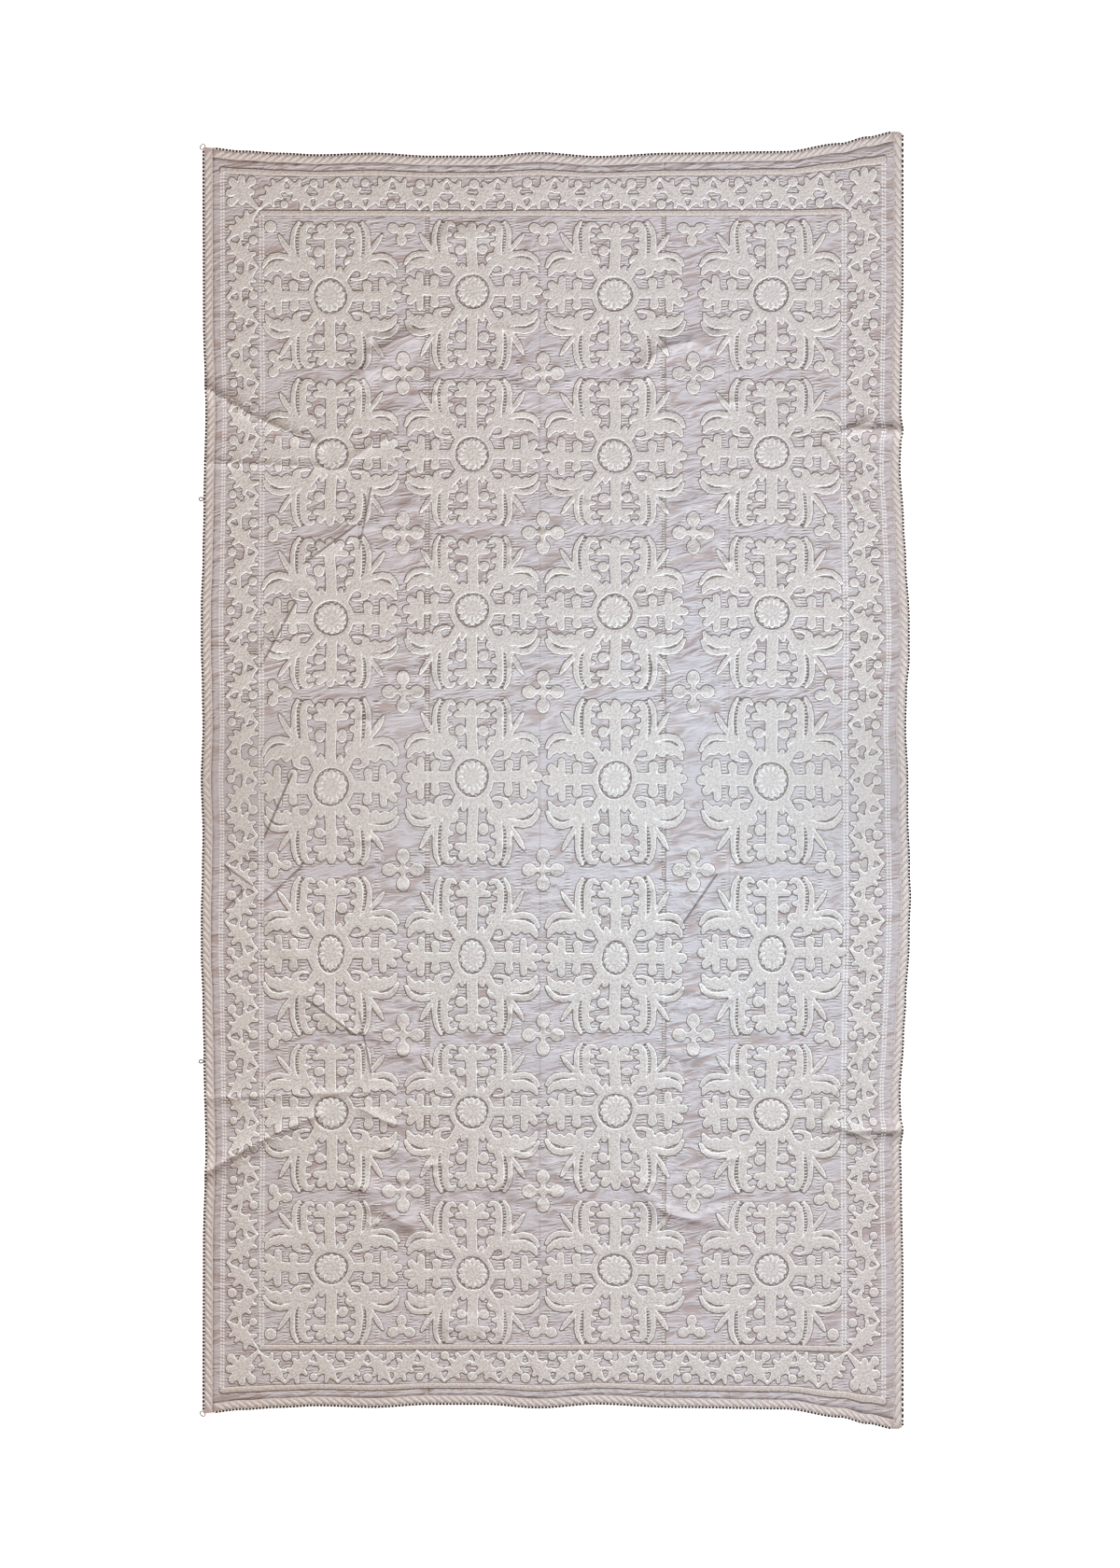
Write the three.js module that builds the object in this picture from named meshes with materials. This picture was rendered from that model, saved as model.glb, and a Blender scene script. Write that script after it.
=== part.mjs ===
// A long suzani laid out on a surface: three loom-width strips of silk sewn edge to edge, an edging
// braid sewn around them in four lengths, and four small thread loops at the left edge.
// Millimetres. +Z is up, +Y points to the top edge and +X to the right edge. The origin is on the
// surface, under the middle of the cloth.

import * as THREE from 'three';

// Driving dimensions of the flat cut, before the edges wander.
const LEFT_SIDE = -653;
const RIGHT_SIDE = 647;
const HALF_LENGTH = 1160;
const LEFT_SEAM = -235;
const RIGHT_SEAM = 202;
const CLOTH_THICKNESS = 2;
const PIECE_GAP = 0.3;

// The braid: a thin picot lip outside, a rope-like ridge inside.
const BRAID_WIDTH = 17;
const BRAID_PROFILE = [
  { inwards: 0, thickness: 1.8 },
  { inwards: 0.55 * BRAID_WIDTH, thickness: 3 },
  { inwards: BRAID_WIDTH, thickness: 2.2 },
];
const LEFT_CORNER_RADIUS = 3;
const RIGHT_CORNER_RADIUS = 10;

// How the edges wander from the flat cut, outwards, on the upper half. The lower half mirrors it.
const LEFT_EDGE = [
  { at: 0, out: 0 },
  { at: 97, out: -3 },
  { at: 166, out: -2 },
  { at: 250, out: 0 },
  { at: 320, out: 0 },
  { at: 408, out: -3 },
  { at: 511, out: -5 },
  { at: 690, out: -8.5 },
  { at: 850, out: -4 },
  { at: HALF_LENGTH, out: -3 },
];
const RIGHT_EDGE = [
  { at: 0, out: 7 },
  { at: 97, out: 3 },
  { at: 166, out: 4.5 },
  { at: 225, out: 9.5 },
  { at: 300, out: 9.5 },
  { at: 408, out: 3 },
  { at: 477, out: -1 },
  { at: 580, out: -7.5 },
  { at: 623, out: -6 },
  { at: 646, out: -2.5 },
  { at: 684, out: -6.5 },
  { at: 753, out: -5 },
  { at: 926, out: -2 },
  { at: HALF_LENGTH, out: -2 },
];
const RIGHT_SWELL = { at: -140, halfWidth: 150, out: 6 };
const END_EDGE = [
  { at: -653, out: 11 },
  { at: -577, out: 4 },
  { at: -508, out: 0 },
  { at: -439, out: -3 },
  { at: -335, out: 0 },
  { at: -231, out: -5.5 },
  { at: -128, out: -5.5 },
  { at: -29, out: 1 },
  { at: 79, out: -6 },
  { at: 218, out: 0 },
  { at: 425, out: 3 },
  { at: 528, out: 18 },
  { at: 580, out: 30 },
  { at: 632, out: 40 },
];
const SIDE_REACH = 80;
const END_REACH = 50;

// The main folds: a rounded ridge from one point to another, with its sideways bow, half its width
// and its height at both ends. A mirrored fold also lies in the lower half.
const FOLDS = [
  {
    name: 'left crease', fromX: -655, fromY: 727, toX: -433, toY: 618, bow: -6,
    halfWidth: 30, fromHeight: 14, toHeight: 3, mirrored: true,
  },
  {
    name: 'left lower fold', fromX: -655, fromY: 588, toX: -303, toY: 574, bow: 0,
    halfWidth: 30, fromHeight: 6, toHeight: 2, mirrored: true,
  },
  {
    name: 'right crease', fromX: 655, fromY: 645, toX: 437, toY: 622, bow: -10,
    halfWidth: 30, fromHeight: 13, toHeight: 2, mirrored: true,
  },
  {
    name: 'right slanted fold', fromX: 491, fromY: 606, toX: 550, toY: 470, bow: 8,
    halfWidth: 34, fromHeight: 4, toHeight: 5, mirrored: true,
  },
  {
    name: 'right border fold', fromX: 511, fromY: 425, toX: 537, toY: 373, bow: 0,
    halfWidth: 32, fromHeight: 4, toHeight: 3, mirrored: true,
  },
  {
    name: 'left gap fold', fromX: -362, fromY: 749, toX: -257, toY: 819, bow: 0,
    halfWidth: 36, fromHeight: 6, toHeight: 6, mirrored: true,
  },
  {
    name: 'right gap fold', fromX: 144, fromY: 730, toX: 303, toY: 812, bow: 34,
    halfWidth: 36, fromHeight: 5, toHeight: 5, mirrored: true,
  },
  {
    name: 'middle gap fold', fromX: -110, fromY: 753, toX: -58, toY: 710, bow: 0,
    halfWidth: 32, fromHeight: 4, toHeight: 4, mirrored: true,
  },
  {
    name: 'top fold', fromX: -196, fromY: 1005, toX: -108, toY: 1015, bow: 0,
    halfWidth: 34, fromHeight: 4, toHeight: 3, mirrored: true,
  },
  {
    name: 'left field fold', fromX: -376, fromY: 472, toX: -464, toY: 400, bow: 0,
    halfWidth: 34, fromHeight: 5, toHeight: 4, mirrored: true,
  },
  {
    name: 'left border fold', fromX: -480, fromY: 328, toX: -549, toY: 199, bow: 0,
    halfWidth: 34, fromHeight: 5, toHeight: 4, mirrored: true,
  },
  {
    name: 'left middle fold', fromX: -487, fromY: 16, toX: -552, toY: -131, bow: 0,
    halfWidth: 34, fromHeight: 5, toHeight: 4, mirrored: false,
  },
  {
    name: 'right middle fold', fromX: 315, fromY: -166, toX: 240, toY: -254, bow: 0,
    halfWidth: 34, fromHeight: 5, toHeight: 4, mirrored: false,
  },
];

// The thread loops: a short cord whose centre line leaves the edge, opens and comes back.
const LOOP_CORD_RADIUS = 1.2;
const LOOP_PATH = [
  { out: 0, along: 1.7 },
  { out: 2, along: 1.8 },
  { out: 4.6, along: 3 },
  { out: 7.4, along: 2.7 },
  { out: 9.2, along: 0 },
];
const LOOP_HEIGHT = 520;
const CORNER_CORD_RADIUS = 1;
const CORNER_FOOT = 4;
const CORNER_PULL = 14;
const CORD_SIDES = 8;
const CORD_STEPS = 14;
const CORD_LIFT = 0.1;

// Facets: columns of one width, rows that are closer together where the sharp folds lie.
const COLUMN_STEP = 36;
const CLOTH_END = HALF_LENGTH - BRAID_WIDTH - PIECE_GAP;
const ROW_ZONES = [
  { end: 540, step: 45 },
  { end: 740, step: 20 },
  { end: 830, step: 30 },
  { end: CLOTH_END, step: 52 },
];
const CORNER_STEPS = 3;

const { clamp, lerp, smoothstep } = THREE.MathUtils;

// Smooth interpolation in a table of places along an edge.
function wander(table, place) {
  const last = table.length - 1;
  const inside = clamp(place, table[0].at, table[last].at);
  let row = 0;
  while (row < last - 1 && inside > table[row + 1].at) row += 1;
  const share = smoothstep(inside, table[row].at, table[row + 1].at);
  return lerp(table[row].out, table[row + 1].out, share);
}

function bump(distance, halfWidth) {
  const reach = Math.abs(distance) / halfWidth;
  return reach < 1 ? 0.5 * (1 + Math.cos(Math.PI * reach)) : 0;
}

// How much of an edge's wander a point keeps: all of it in the braid, less and less inside.
function follow(inwards, reach) {
  return Math.exp(-Math.max(0, inwards - BRAID_WIDTH) / reach);
}

// Where a point of the flat cut lies.
function lie(x, y) {
  const rightOut = wander(RIGHT_EDGE, Math.abs(y))
    + RIGHT_SWELL.out * bump(y - RIGHT_SWELL.at, RIGHT_SWELL.halfWidth);
  const leftPull = wander(LEFT_EDGE, Math.abs(y)) * follow(x - LEFT_SIDE, SIDE_REACH);
  const rightPull = rightOut * follow(RIGHT_SIDE - x, SIDE_REACH);
  const endPull = wander(END_EDGE, x) * follow(HALF_LENGTH - Math.abs(y), END_REACH);
  return { x: x - leftPull + rightPull, y: y + Math.sign(y) * endPull };
}

function ridge(fold, x, y) {
  const runX = fold.toX - fold.fromX;
  const runY = fold.toY - fold.fromY;
  const length = Math.hypot(runX, runY);
  const along = ((x - fold.fromX) * runX + (y - fold.fromY) * runY) / length;
  const share = clamp(along / length, 0, 1);
  const bow = 4 * fold.bow * share * (1 - share);
  const aside = ((y - fold.fromY) * runX - (x - fold.fromX) * runY) / length - bow;
  const beyond = along - share * length;
  const crest = lerp(fold.fromHeight, fold.toHeight, share);
  return crest * bump(Math.hypot(aside, beyond), fold.halfWidth);
}

// Height of the underside above the surface.
function foldHeight(x, y) {
  let height = 0;
  for (const fold of FOLDS) {
    height += ridge(fold, x, y);
    if (fold.mirrored) height += ridge(fold, x, -y);
  }
  return height;
}

function steps(from, to, step) {
  const count = Math.max(1, Math.round(Math.abs(to - from) / step));
  return Array.from({ length: count + 1 }, (_, index) => lerp(from, to, index / count));
}

function clothRows() {
  const upper = [];
  let start = 0;
  for (const zone of ROW_ZONES) {
    upper.push(...steps(start, zone.end, zone.step).slice(1));
    start = zone.end;
  }
  const lower = upper.map((y) => -y).reverse();
  return [...lower, 0, ...upper];
}

// A closed sheet over a grid of the flat cut: its underside on the folds, its face one thickness up.
function sheet(columns, rows, thickness, trim = (x) => x) {
  const across = columns.length;
  const layer = across * rows.length;
  const positions = [];
  for (const isFace of [false, true]) {
    for (const y of rows) {
      for (const x of columns) {
        const cutX = trim(x, y);
        const place = lie(cutX, y);
        const rise = isFace ? thickness(x, y) : 0;
        positions.push(place.x, place.y, foldHeight(cutX, y) + rise);
      }
    }
  }

  const indices = [];
  const quad = (a, b, c, d) => indices.push(a, b, c, a, c, d);
  for (let row = 0; row < rows.length - 1; row += 1) {
    for (let column = 0; column < across - 1; column += 1) {
      const low = row * across + column;
      const high = layer + low;
      quad(low, low + across, low + across + 1, low + 1);
      quad(high, high + 1, high + across + 1, high + across);
    }
  }
  const rim = rimOf(across, rows.length);
  rim.forEach((from, index) => {
    const to = rim[(index + 1) % rim.length];
    quad(from, to, layer + to, layer + from);
  });

  const geometry = new THREE.BufferGeometry();
  geometry.setAttribute('position', new THREE.Float32BufferAttribute(positions, 3));
  geometry.setIndex(indices);
  geometry.computeVertexNormals();
  return geometry;
}

// The grid's border points, once around, counter-clockwise from above.
function rimOf(across, deep) {
  const rim = [];
  for (let column = 0; column < across - 1; column += 1) rim.push(column);
  for (let row = 0; row < deep - 1; row += 1) rim.push(row * across + across - 1);
  for (let column = across - 1; column > 0; column -= 1) rim.push((deep - 1) * across + column);
  for (let row = deep - 1; row > 0; row -= 1) rim.push(row * across);
  return rim;
}

function braidThickness(inwards) {
  const row = inwards < BRAID_PROFILE[1].inwards ? 0 : 1;
  const from = BRAID_PROFILE[row];
  const to = BRAID_PROFILE[row + 1];
  const share = clamp((inwards - from.inwards) / (to.inwards - from.inwards), 0, 1);
  return lerp(from.thickness, to.thickness, share);
}

// A side length of braid: it runs the whole height, with its outer corners rounded.
function sideBraid(side, inwardSign, radius, rows) {
  const inner = side + inwardSign * BRAID_WIDTH;
  const columns = BRAID_PROFILE.map((point) => side + inwardSign * point.inwards);
  columns.sort((a, b) => a - b);
  const cornerRows = [];
  for (let step = 0; step <= CORNER_STEPS; step += 1) {
    const turn = (Math.PI / 2) * (step / CORNER_STEPS);
    cornerRows.push(HALF_LENGTH - radius + radius * Math.sin(turn));
  }
  const lowRows = cornerRows.map((y) => -y).reverse();
  const roundCorner = (x, y) => {
    const past = Math.max(0, Math.abs(y) - (HALF_LENGTH - radius));
    const inset = radius - Math.sqrt(radius * radius - past * past);
    return inner + (x - inner) * (1 - inset / BRAID_WIDTH);
  };
  const thickness = (x) => braidThickness(Math.abs(x - side));
  return sheet(columns, [...lowRows, ...rows, ...cornerRows], thickness, roundCorner);
}

// A top or bottom length of braid, between the two side lengths.
function endBraid(sign, columns) {
  const rows = BRAID_PROFILE.map((point) => sign * (HALF_LENGTH - point.inwards));
  rows.sort((a, b) => a - b);
  return sheet(columns, rows, (x, y) => braidThickness(HALF_LENGTH - Math.abs(y)));
}

function cord(curve, radius) {
  const section = new THREE.Shape();
  for (let corner = 0; corner < CORD_SIDES; corner += 1) {
    const angle = (2 * Math.PI * corner) / CORD_SIDES;
    const move = corner === 0 ? 'moveTo' : 'lineTo';
    section[move](radius * Math.cos(angle), radius * Math.sin(angle));
  }
  return new THREE.ExtrudeGeometry(section, { steps: CORD_STEPS, extrudePath: curve });
}

// A loop on the left edge, with both feet on the braid's lip.
function edgeLoop(y) {
  const edge = lie(LEFT_SIDE, y);
  const height = LOOP_CORD_RADIUS + CORD_LIFT;
  const back = LOOP_PATH.slice(0, -1).reverse();
  const turned = back.map((point) => ({ out: point.out, along: -point.along }));
  const points = [...LOOP_PATH, ...turned].map((point) => new THREE.Vector3(
    edge.x - PIECE_GAP - point.out,
    edge.y + point.along,
    height,
  ));
  return cord(new THREE.CatmullRomCurve3(points), LOOP_CORD_RADIUS);
}

// A loop around a corner of the left edge, from the side's lip to the end's lip.
function cornerLoop(sign) {
  const height = CORNER_CORD_RADIUS + CORD_LIFT;
  const sideFoot = lie(LEFT_SIDE, sign * (HALF_LENGTH - CORNER_FOOT));
  const endFoot = lie(LEFT_SIDE + CORNER_FOOT, sign * HALF_LENGTH);
  const start = new THREE.Vector3(sideFoot.x - PIECE_GAP, sideFoot.y, height);
  const finish = new THREE.Vector3(endFoot.x, endFoot.y + sign * PIECE_GAP, height);
  const leave = start.clone().add(new THREE.Vector3(-CORNER_PULL, 0, 0));
  const arrive = finish.clone().add(new THREE.Vector3(0, sign * CORNER_PULL, 0));
  return cord(new THREE.CubicBezierCurve3(start, leave, arrive, finish), CORNER_CORD_RADIUS);
}

const SILK = { color: 0xc4bdbf, roughness: 0.62, metalness: 0 };
const BRAID_THREAD = { color: 0xc6b9b2, roughness: 0.75, metalness: 0 };
const LOOP_THREAD = { color: 0xd6ccc6, roughness: 0.8, metalness: 0 };

const suzani = new THREE.Group();

function add(name, geometry, finish) {
  const mesh = new THREE.Mesh(geometry, new THREE.MeshStandardMaterial(finish));
  mesh.name = name;
  suzani.add(mesh);
}

const rows = clothRows();
const clothLeft = LEFT_SIDE + BRAID_WIDTH + PIECE_GAP;
const clothRight = RIGHT_SIDE - BRAID_WIDTH - PIECE_GAP;
const panels = [
  { name: 'panel_left', columns: steps(clothLeft, LEFT_SEAM - PIECE_GAP / 2, COLUMN_STEP) },
  { name: 'panel_middle', columns: steps(LEFT_SEAM + PIECE_GAP / 2, RIGHT_SEAM - PIECE_GAP / 2, COLUMN_STEP) },
  { name: 'panel_right', columns: steps(RIGHT_SEAM + PIECE_GAP / 2, clothRight, COLUMN_STEP) },
];
for (const panel of panels) {
  add(panel.name, sheet(panel.columns, rows, () => CLOTH_THICKNESS), SILK);
}

add('braid_left', sideBraid(LEFT_SIDE, 1, LEFT_CORNER_RADIUS, rows), BRAID_THREAD);
add('braid_right', sideBraid(RIGHT_SIDE, -1, RIGHT_CORNER_RADIUS, rows), BRAID_THREAD);

const endColumns = panels.flatMap((panel, index) => (
  index === 0 ? panel.columns : panel.columns.slice(1)
));
add('braid_top', endBraid(1, endColumns), BRAID_THREAD);
add('braid_bottom', endBraid(-1, endColumns), BRAID_THREAD);

add('edge_loop_upper', edgeLoop(LOOP_HEIGHT), LOOP_THREAD);
add('edge_loop_lower', edgeLoop(-LOOP_HEIGHT), LOOP_THREAD);
add('corner_loop_top', cornerLoop(1), LOOP_THREAD);
add('corner_loop_bottom', cornerLoop(-1), LOOP_THREAD);

export default suzani;
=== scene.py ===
# %% [markdown]
# # A long suzani, laid out flat
# A suzani is a large embroidered cloth. Narrow strips of hand-loomed silk are worked with floss, sewn
# edge to edge and bound with a braid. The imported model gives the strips, the four lengths of braid and
# the small thread loops at their real size. This lesson puts soft sheets, raised stitches and thread
# in their place.

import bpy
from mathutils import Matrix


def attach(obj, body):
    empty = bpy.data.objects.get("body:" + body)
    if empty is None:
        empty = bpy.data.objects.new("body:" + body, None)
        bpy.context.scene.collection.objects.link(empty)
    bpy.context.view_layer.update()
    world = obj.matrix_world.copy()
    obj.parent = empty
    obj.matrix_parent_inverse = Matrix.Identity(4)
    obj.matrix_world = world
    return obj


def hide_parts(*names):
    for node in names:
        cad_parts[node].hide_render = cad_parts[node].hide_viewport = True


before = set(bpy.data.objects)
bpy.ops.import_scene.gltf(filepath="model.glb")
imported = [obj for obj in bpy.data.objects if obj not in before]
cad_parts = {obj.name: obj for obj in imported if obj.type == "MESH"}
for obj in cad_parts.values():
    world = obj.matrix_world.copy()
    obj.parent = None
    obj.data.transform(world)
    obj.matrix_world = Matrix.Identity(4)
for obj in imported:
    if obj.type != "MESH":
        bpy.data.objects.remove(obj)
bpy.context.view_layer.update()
print("nodes in the frame:", len(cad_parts))

# %% [markdown]
# ## The flat cut and how it lies
# The cloth is easiest to draw as it was cut: straight and flat, in millimetres. One function then
# moves any point of that flat cut to where it lies, with the wandering edges and flared corners that a
# hand-sewn cloth has. Every piece below goes through it, so stitches stay on their cloth.

# %% Sizes of the flat cut
import math
from collections import namedtuple

import bpy
import numpy as np
from mathutils import Vector

MM = 0.001
LEFT_SIDE = -653.0
RIGHT_SIDE = 647.0
HALF_LENGTH = 1160.0
LEFT_SEAM = -235.0
RIGHT_SEAM = 202.0
CLOTH_THICKNESS = 2.0
PIECE_GAP = 0.3
BRAID_WIDTH = 17.0
CLOTH_LEFT = LEFT_SIDE + BRAID_WIDTH + PIECE_GAP
CLOTH_RIGHT = RIGHT_SIDE - BRAID_WIDTH - PIECE_GAP
CLOTH_END = HALF_LENGTH - BRAID_WIDTH - PIECE_GAP
print("cloth inside the braid:", CLOTH_RIGHT - CLOTH_LEFT, "by", 2 * CLOTH_END, "mm")

# %% How far the edges wander: place along the edge, distance outwards
LEFT_EDGE = [
    (0, 0), (97, -3), (166, -2), (250, 0), (320, 0), (408, -3), (511, -5), (690, -8.5), (850, -4),
    (HALF_LENGTH, -3),
]
RIGHT_EDGE = [
    (0, 7), (97, 3), (166, 4.5), (225, 9.5), (300, 9.5), (408, 3), (477, -1), (580, -7.5), (623, -6),
    (646, -2.5), (684, -6.5), (753, -5), (926, -2), (HALF_LENGTH, -2),
]
END_EDGE = [
    (-653, 11), (-577, 4), (-508, 0), (-439, -3), (-335, 0), (-231, -5.5), (-128, -5.5), (-29, 1),
    (79, -6), (218, 0), (425, 3), (528, 18), (580, 30), (632, 40),
]
RIGHT_SWELL_AT = -140
RIGHT_SWELL_HALF_WIDTH = 150
RIGHT_SWELL_OUT = 6
SIDE_REACH = 80
END_REACH = 50


def ease(share):
    return share * share * (3 - 2 * share)


def wander(table, place):
    at = np.array([row[0] for row in table], float)
    out = np.array([row[1] for row in table], float)
    inside = np.clip(place, at[0], at[-1])
    row = np.clip(np.searchsorted(at, inside) - 1, 0, len(at) - 2)
    share = (inside - at[row]) / (at[row + 1] - at[row])
    return out[row] + (out[row + 1] - out[row]) * ease(share)


def bump(distance, half_width):
    reach = np.minimum(np.abs(distance) / half_width, 1)
    return 0.5 * (1 + np.cos(np.pi * reach))


def follow(inwards, reach):
    return np.exp(-np.maximum(0, inwards - BRAID_WIDTH) / reach)


def lie(x, y):
    """Where points of the flat cut lie."""
    swell = RIGHT_SWELL_OUT * bump(y - RIGHT_SWELL_AT, RIGHT_SWELL_HALF_WIDTH)
    right_out = wander(RIGHT_EDGE, np.abs(y)) + swell
    left_pull = wander(LEFT_EDGE, np.abs(y)) * follow(x - LEFT_SIDE, SIDE_REACH)
    right_pull = right_out * follow(RIGHT_SIDE - x, SIDE_REACH)
    end_pull = wander(END_EDGE, x) * follow(HALF_LENGTH - np.abs(y), END_REACH)
    return x - left_pull + right_pull, y + np.sign(y) * end_pull


print("top right corner lies at", lie(np.array([RIGHT_SIDE]), np.array([HALF_LENGTH])))

# %% [markdown]
# ## Folds
# The cloth has been stored folded, so it keeps a few soft creases, and the dense stitching pulls the bare
# silk into small ripples. A cloth simulation would lose these known places, so each fold is a rounded
# ridge along a line. The main ones follow the folds of the imported model, and sharper creases are placed
# one by one. A pinch is a crease so narrow that only its shaded line shows, so the finishes draw it later.
# The small ripples lie in the bare silk between the rosettes and come from seeded chance, uneven as
# handwork is.

# %% Main folds, creases and small ripples
def pleat(distance, half_width):
    """A fold with a sharp crest, where bump has a round one."""
    reach = np.minimum(np.abs(distance) / half_width, 1)
    return (1 - reach) ** 2


FOLD_FIELDS = "from_x from_y to_x to_y bow half_width from_height to_height mirrored shape"
Fold = namedtuple("Fold", FOLD_FIELDS, defaults=[bump])
MAIN_FOLDS = [
    Fold(-655, 727, -433, 618, -6, 32, 14, 3, True, pleat),
    Fold(-655, 588, -303, 574, 0, 26, 4, 1, True, pleat),
    Fold(655, 645, 437, 622, -10, 30, 9, 0.8, True, pleat),
    Fold(491, 606, 550, 470, 8, 34, 3, 4, True),
    Fold(511, 425, 537, 373, 0, 32, 4, 3, True),
    Fold(-362, 749, -257, 819, 0, 36, 5, 5, True),
    Fold(144, 730, 303, 812, 34, 36, 4, 4, True),
    Fold(-110, 753, -58, 710, 0, 32, 4, 4, True),
    Fold(-196, 1005, -108, 1015, 0, 34, 4, 3, True),
    Fold(-376, 472, -464, 400, 0, 34, 3.2, 2.6, True),
    Fold(-480, 328, -549, 199, 0, 34, 3.2, 2.6, True),
    Fold(-487, 16, -552, -131, 0, 34, 5, 4, False),
    Fold(315, -166, 240, -254, 0, 34, 5, 4, False),
]
SHARP_CREASES = [
    Fold(-655, 727, -433, 618, -6, 15, 4.5, 2.4, True, pleat),
    Fold(-655, 588, -303, 574, 0, 13, 1.6, 0.8, True, pleat),
    Fold(655, 647, 545, 648, 0, 18, 3, 0.6, True, pleat),
    Fold(-313, 798, -264, 822, 3, 18, 3.5, 3, True, pleat),
    Fold(-370, 596, -290, 637, 5, 17, 2, 3, True, pleat),
    Fold(207, 798, 252, 810, 2, 16, 3, 3, True, pleat),
    Fold(535, 644, 580, 663, 0, 16, 2.5, 3, True, pleat),
    Fold(499, 615, 575, 468, 4, 7, 2.2, 1.6, True, pleat),
    Fold(563, 537, 613, 473, -3, 6, 2.0, 1.4, True, pleat),
]
PINCHES = [
    Fold(-368, 471, -463, 401, 0, 7, 1.3, 1.0, True, pleat),
    Fold(-339, 541, -361, 428, 0, 6, 1.2, 0.9, True, pleat),
    Fold(-480, 327, -550, 197, 0, 7, 1.3, 1.0, False, pleat),
    Fold(-485, 12, -541, -116, 0, 7, 1.3, 1.2, False, pleat),
    Fold(-611, -156, -558, -195, 0, 7, 1.1, 1.0, False, pleat),
    Fold(-467, -159, -542, -228, 0, 7, 1.2, 1.0, False, pleat),
    Fold(-575, -202, -617, -248, 0, 7, 1.1, 0.9, False, pleat),
    Fold(300, -174, 239, -263, 0, 7, 1.2, 1.2, False, pleat),
    Fold(655, 655, 541, 653, 0, 14, 0.9, 0.6, True, pleat),
]
HAND_CREASES = SHARP_CREASES + [
    Fold(-363, 753, -313, 762, 0, 18, 4, 4.5, True, pleat),
    Fold(-306, 679, -264, 696, 0, 16, 3.5, 4, True, pleat),
    Fold(-318, 501, -264, 510, 0, 16, 4, 3.5, True, pleat),
    Fold(-72, 768, -24, 784, 0, 16, 3.5, 4, True, pleat),
    Fold(-121, 763, -43, 717, -4, 14, 3.4, 3.8, True, pleat),
    Fold(-9, 717, 41, 746, 0, 14, 4, 3, True, pleat),
    Fold(-54, 694, -12, 692, 3, 16, 3.5, 4, True, pleat),
    Fold(166, 765, 207, 798, 3, 17, 4, 4.5, True, pleat),
    Fold(252, 810, 309, 791, 3, 17, 4.5, 3.5, True, pleat),
    Fold(166, 744, 207, 743, 0, 16, 3.5, 3, True, pleat),
    Fold(204, 501, 306, 510, 3, 18, 4, 4.2, True, pleat),
    Fold(497, 618, 535, 523, 4, 13, 4, 3.4, True, pleat),
]
GAP_COLUMNS = (-280, -21, 257)
GAP_ROWS = (753, 458, 164, -166, -471, -760)
RIPPLE_SEED = 11
RIPPLES_IN_A_GAP = 7
RIPPLE_PITCH = 22
RIPPLE_ASIDE = 40
RIPPLE_SHIFT = 6
RIPPLE_HALF_LENGTHS = (18, 52)
RIPPLE_SLOPE = 0.35
RIPPLE_BOW = 7
RIPPLE_HALF_WIDTHS = (13, 20)
RIPPLE_HEIGHTS = (1.6, 4.2)


def either_way(chance, reach):
    return chance.uniform(-reach, reach)


def gap_ripples():
    """Small ripples in the gaps of the upper half, each with its mirror image in the lower half."""
    chance = np.random.default_rng(RIPPLE_SEED)
    ripples = []
    for gap_x in GAP_COLUMNS:
        for gap_y in GAP_ROWS[:3]:
            for number in range(RIPPLES_IN_A_GAP):
                middle_x = gap_x + either_way(chance, RIPPLE_ASIDE)
                even_y = gap_y + (number - RIPPLES_IN_A_GAP // 2) * RIPPLE_PITCH
                middle_y = even_y + either_way(chance, RIPPLE_SHIFT)
                half_x = chance.uniform(*RIPPLE_HALF_LENGTHS)
                half_y = half_x * either_way(chance, RIPPLE_SLOPE)
                ripples.append(Fold(
                    middle_x - half_x, middle_y - half_y, middle_x + half_x, middle_y + half_y,
                    either_way(chance, RIPPLE_BOW), chance.uniform(*RIPPLE_HALF_WIDTHS),
                    chance.uniform(*RIPPLE_HEIGHTS), chance.uniform(*RIPPLE_HEIGHTS), True, pleat,
                ))
    return ripples


FOLDS = MAIN_FOLDS + HAND_CREASES + gap_ripples()


def ridge(fold, x, y):
    run_x = fold.to_x - fold.from_x
    run_y = fold.to_y - fold.from_y
    length = math.hypot(run_x, run_y)
    along = ((x - fold.from_x) * run_x + (y - fold.from_y) * run_y) / length
    share = np.clip(along / length, 0, 1)
    bow = 4 * fold.bow * share * (1 - share)
    aside = ((y - fold.from_y) * run_x - (x - fold.from_x) * run_y) / length - bow
    beyond = along - share * length
    crest = fold.from_height + (fold.to_height - fold.from_height) * share
    return crest * fold.shape(np.hypot(aside, beyond), fold.half_width)


def add_ridge(height, fold, x, y):
    reach = fold.half_width + abs(fold.bow)
    near = (x > min(fold.from_x, fold.to_x) - reach) & (x < max(fold.from_x, fold.to_x) + reach)
    near &= (y > min(fold.from_y, fold.to_y) - reach) & (y < max(fold.from_y, fold.to_y) + reach)
    height[near] += ridge(fold, x[near], y[near])


def underside(x, y):
    """Height of the cloth's underside above the floor."""
    height = np.zeros_like(x)
    for fold in FOLDS:
        add_ridge(height, fold, x, y)
        if fold.mirrored:
            add_ridge(height, fold, x, -y)
    return height


print("folds:", len(MAIN_FOLDS), "main and", len(FOLDS) - len(MAIN_FOLDS), "small, most of them twice")

# %% [markdown]
# ## Camera, light and floor
# The cloth lies flat and the camera hangs straight above its middle with a long lens, so the sides stay
# parallel. Two far spots stand behind the two ends, and each lights the half across from it, so
# the stitches are lit from the middle outwards, as on the real one. The lamps are cool and the sky is
# warm, and together they are white: slopes that turn away from a lamp look pink, as shot silk does.
# A long cool strip lamp and a soft pool of light lift the right half a little, where daylight fell on
# the cloth. A pale floor lies just under it.

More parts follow.
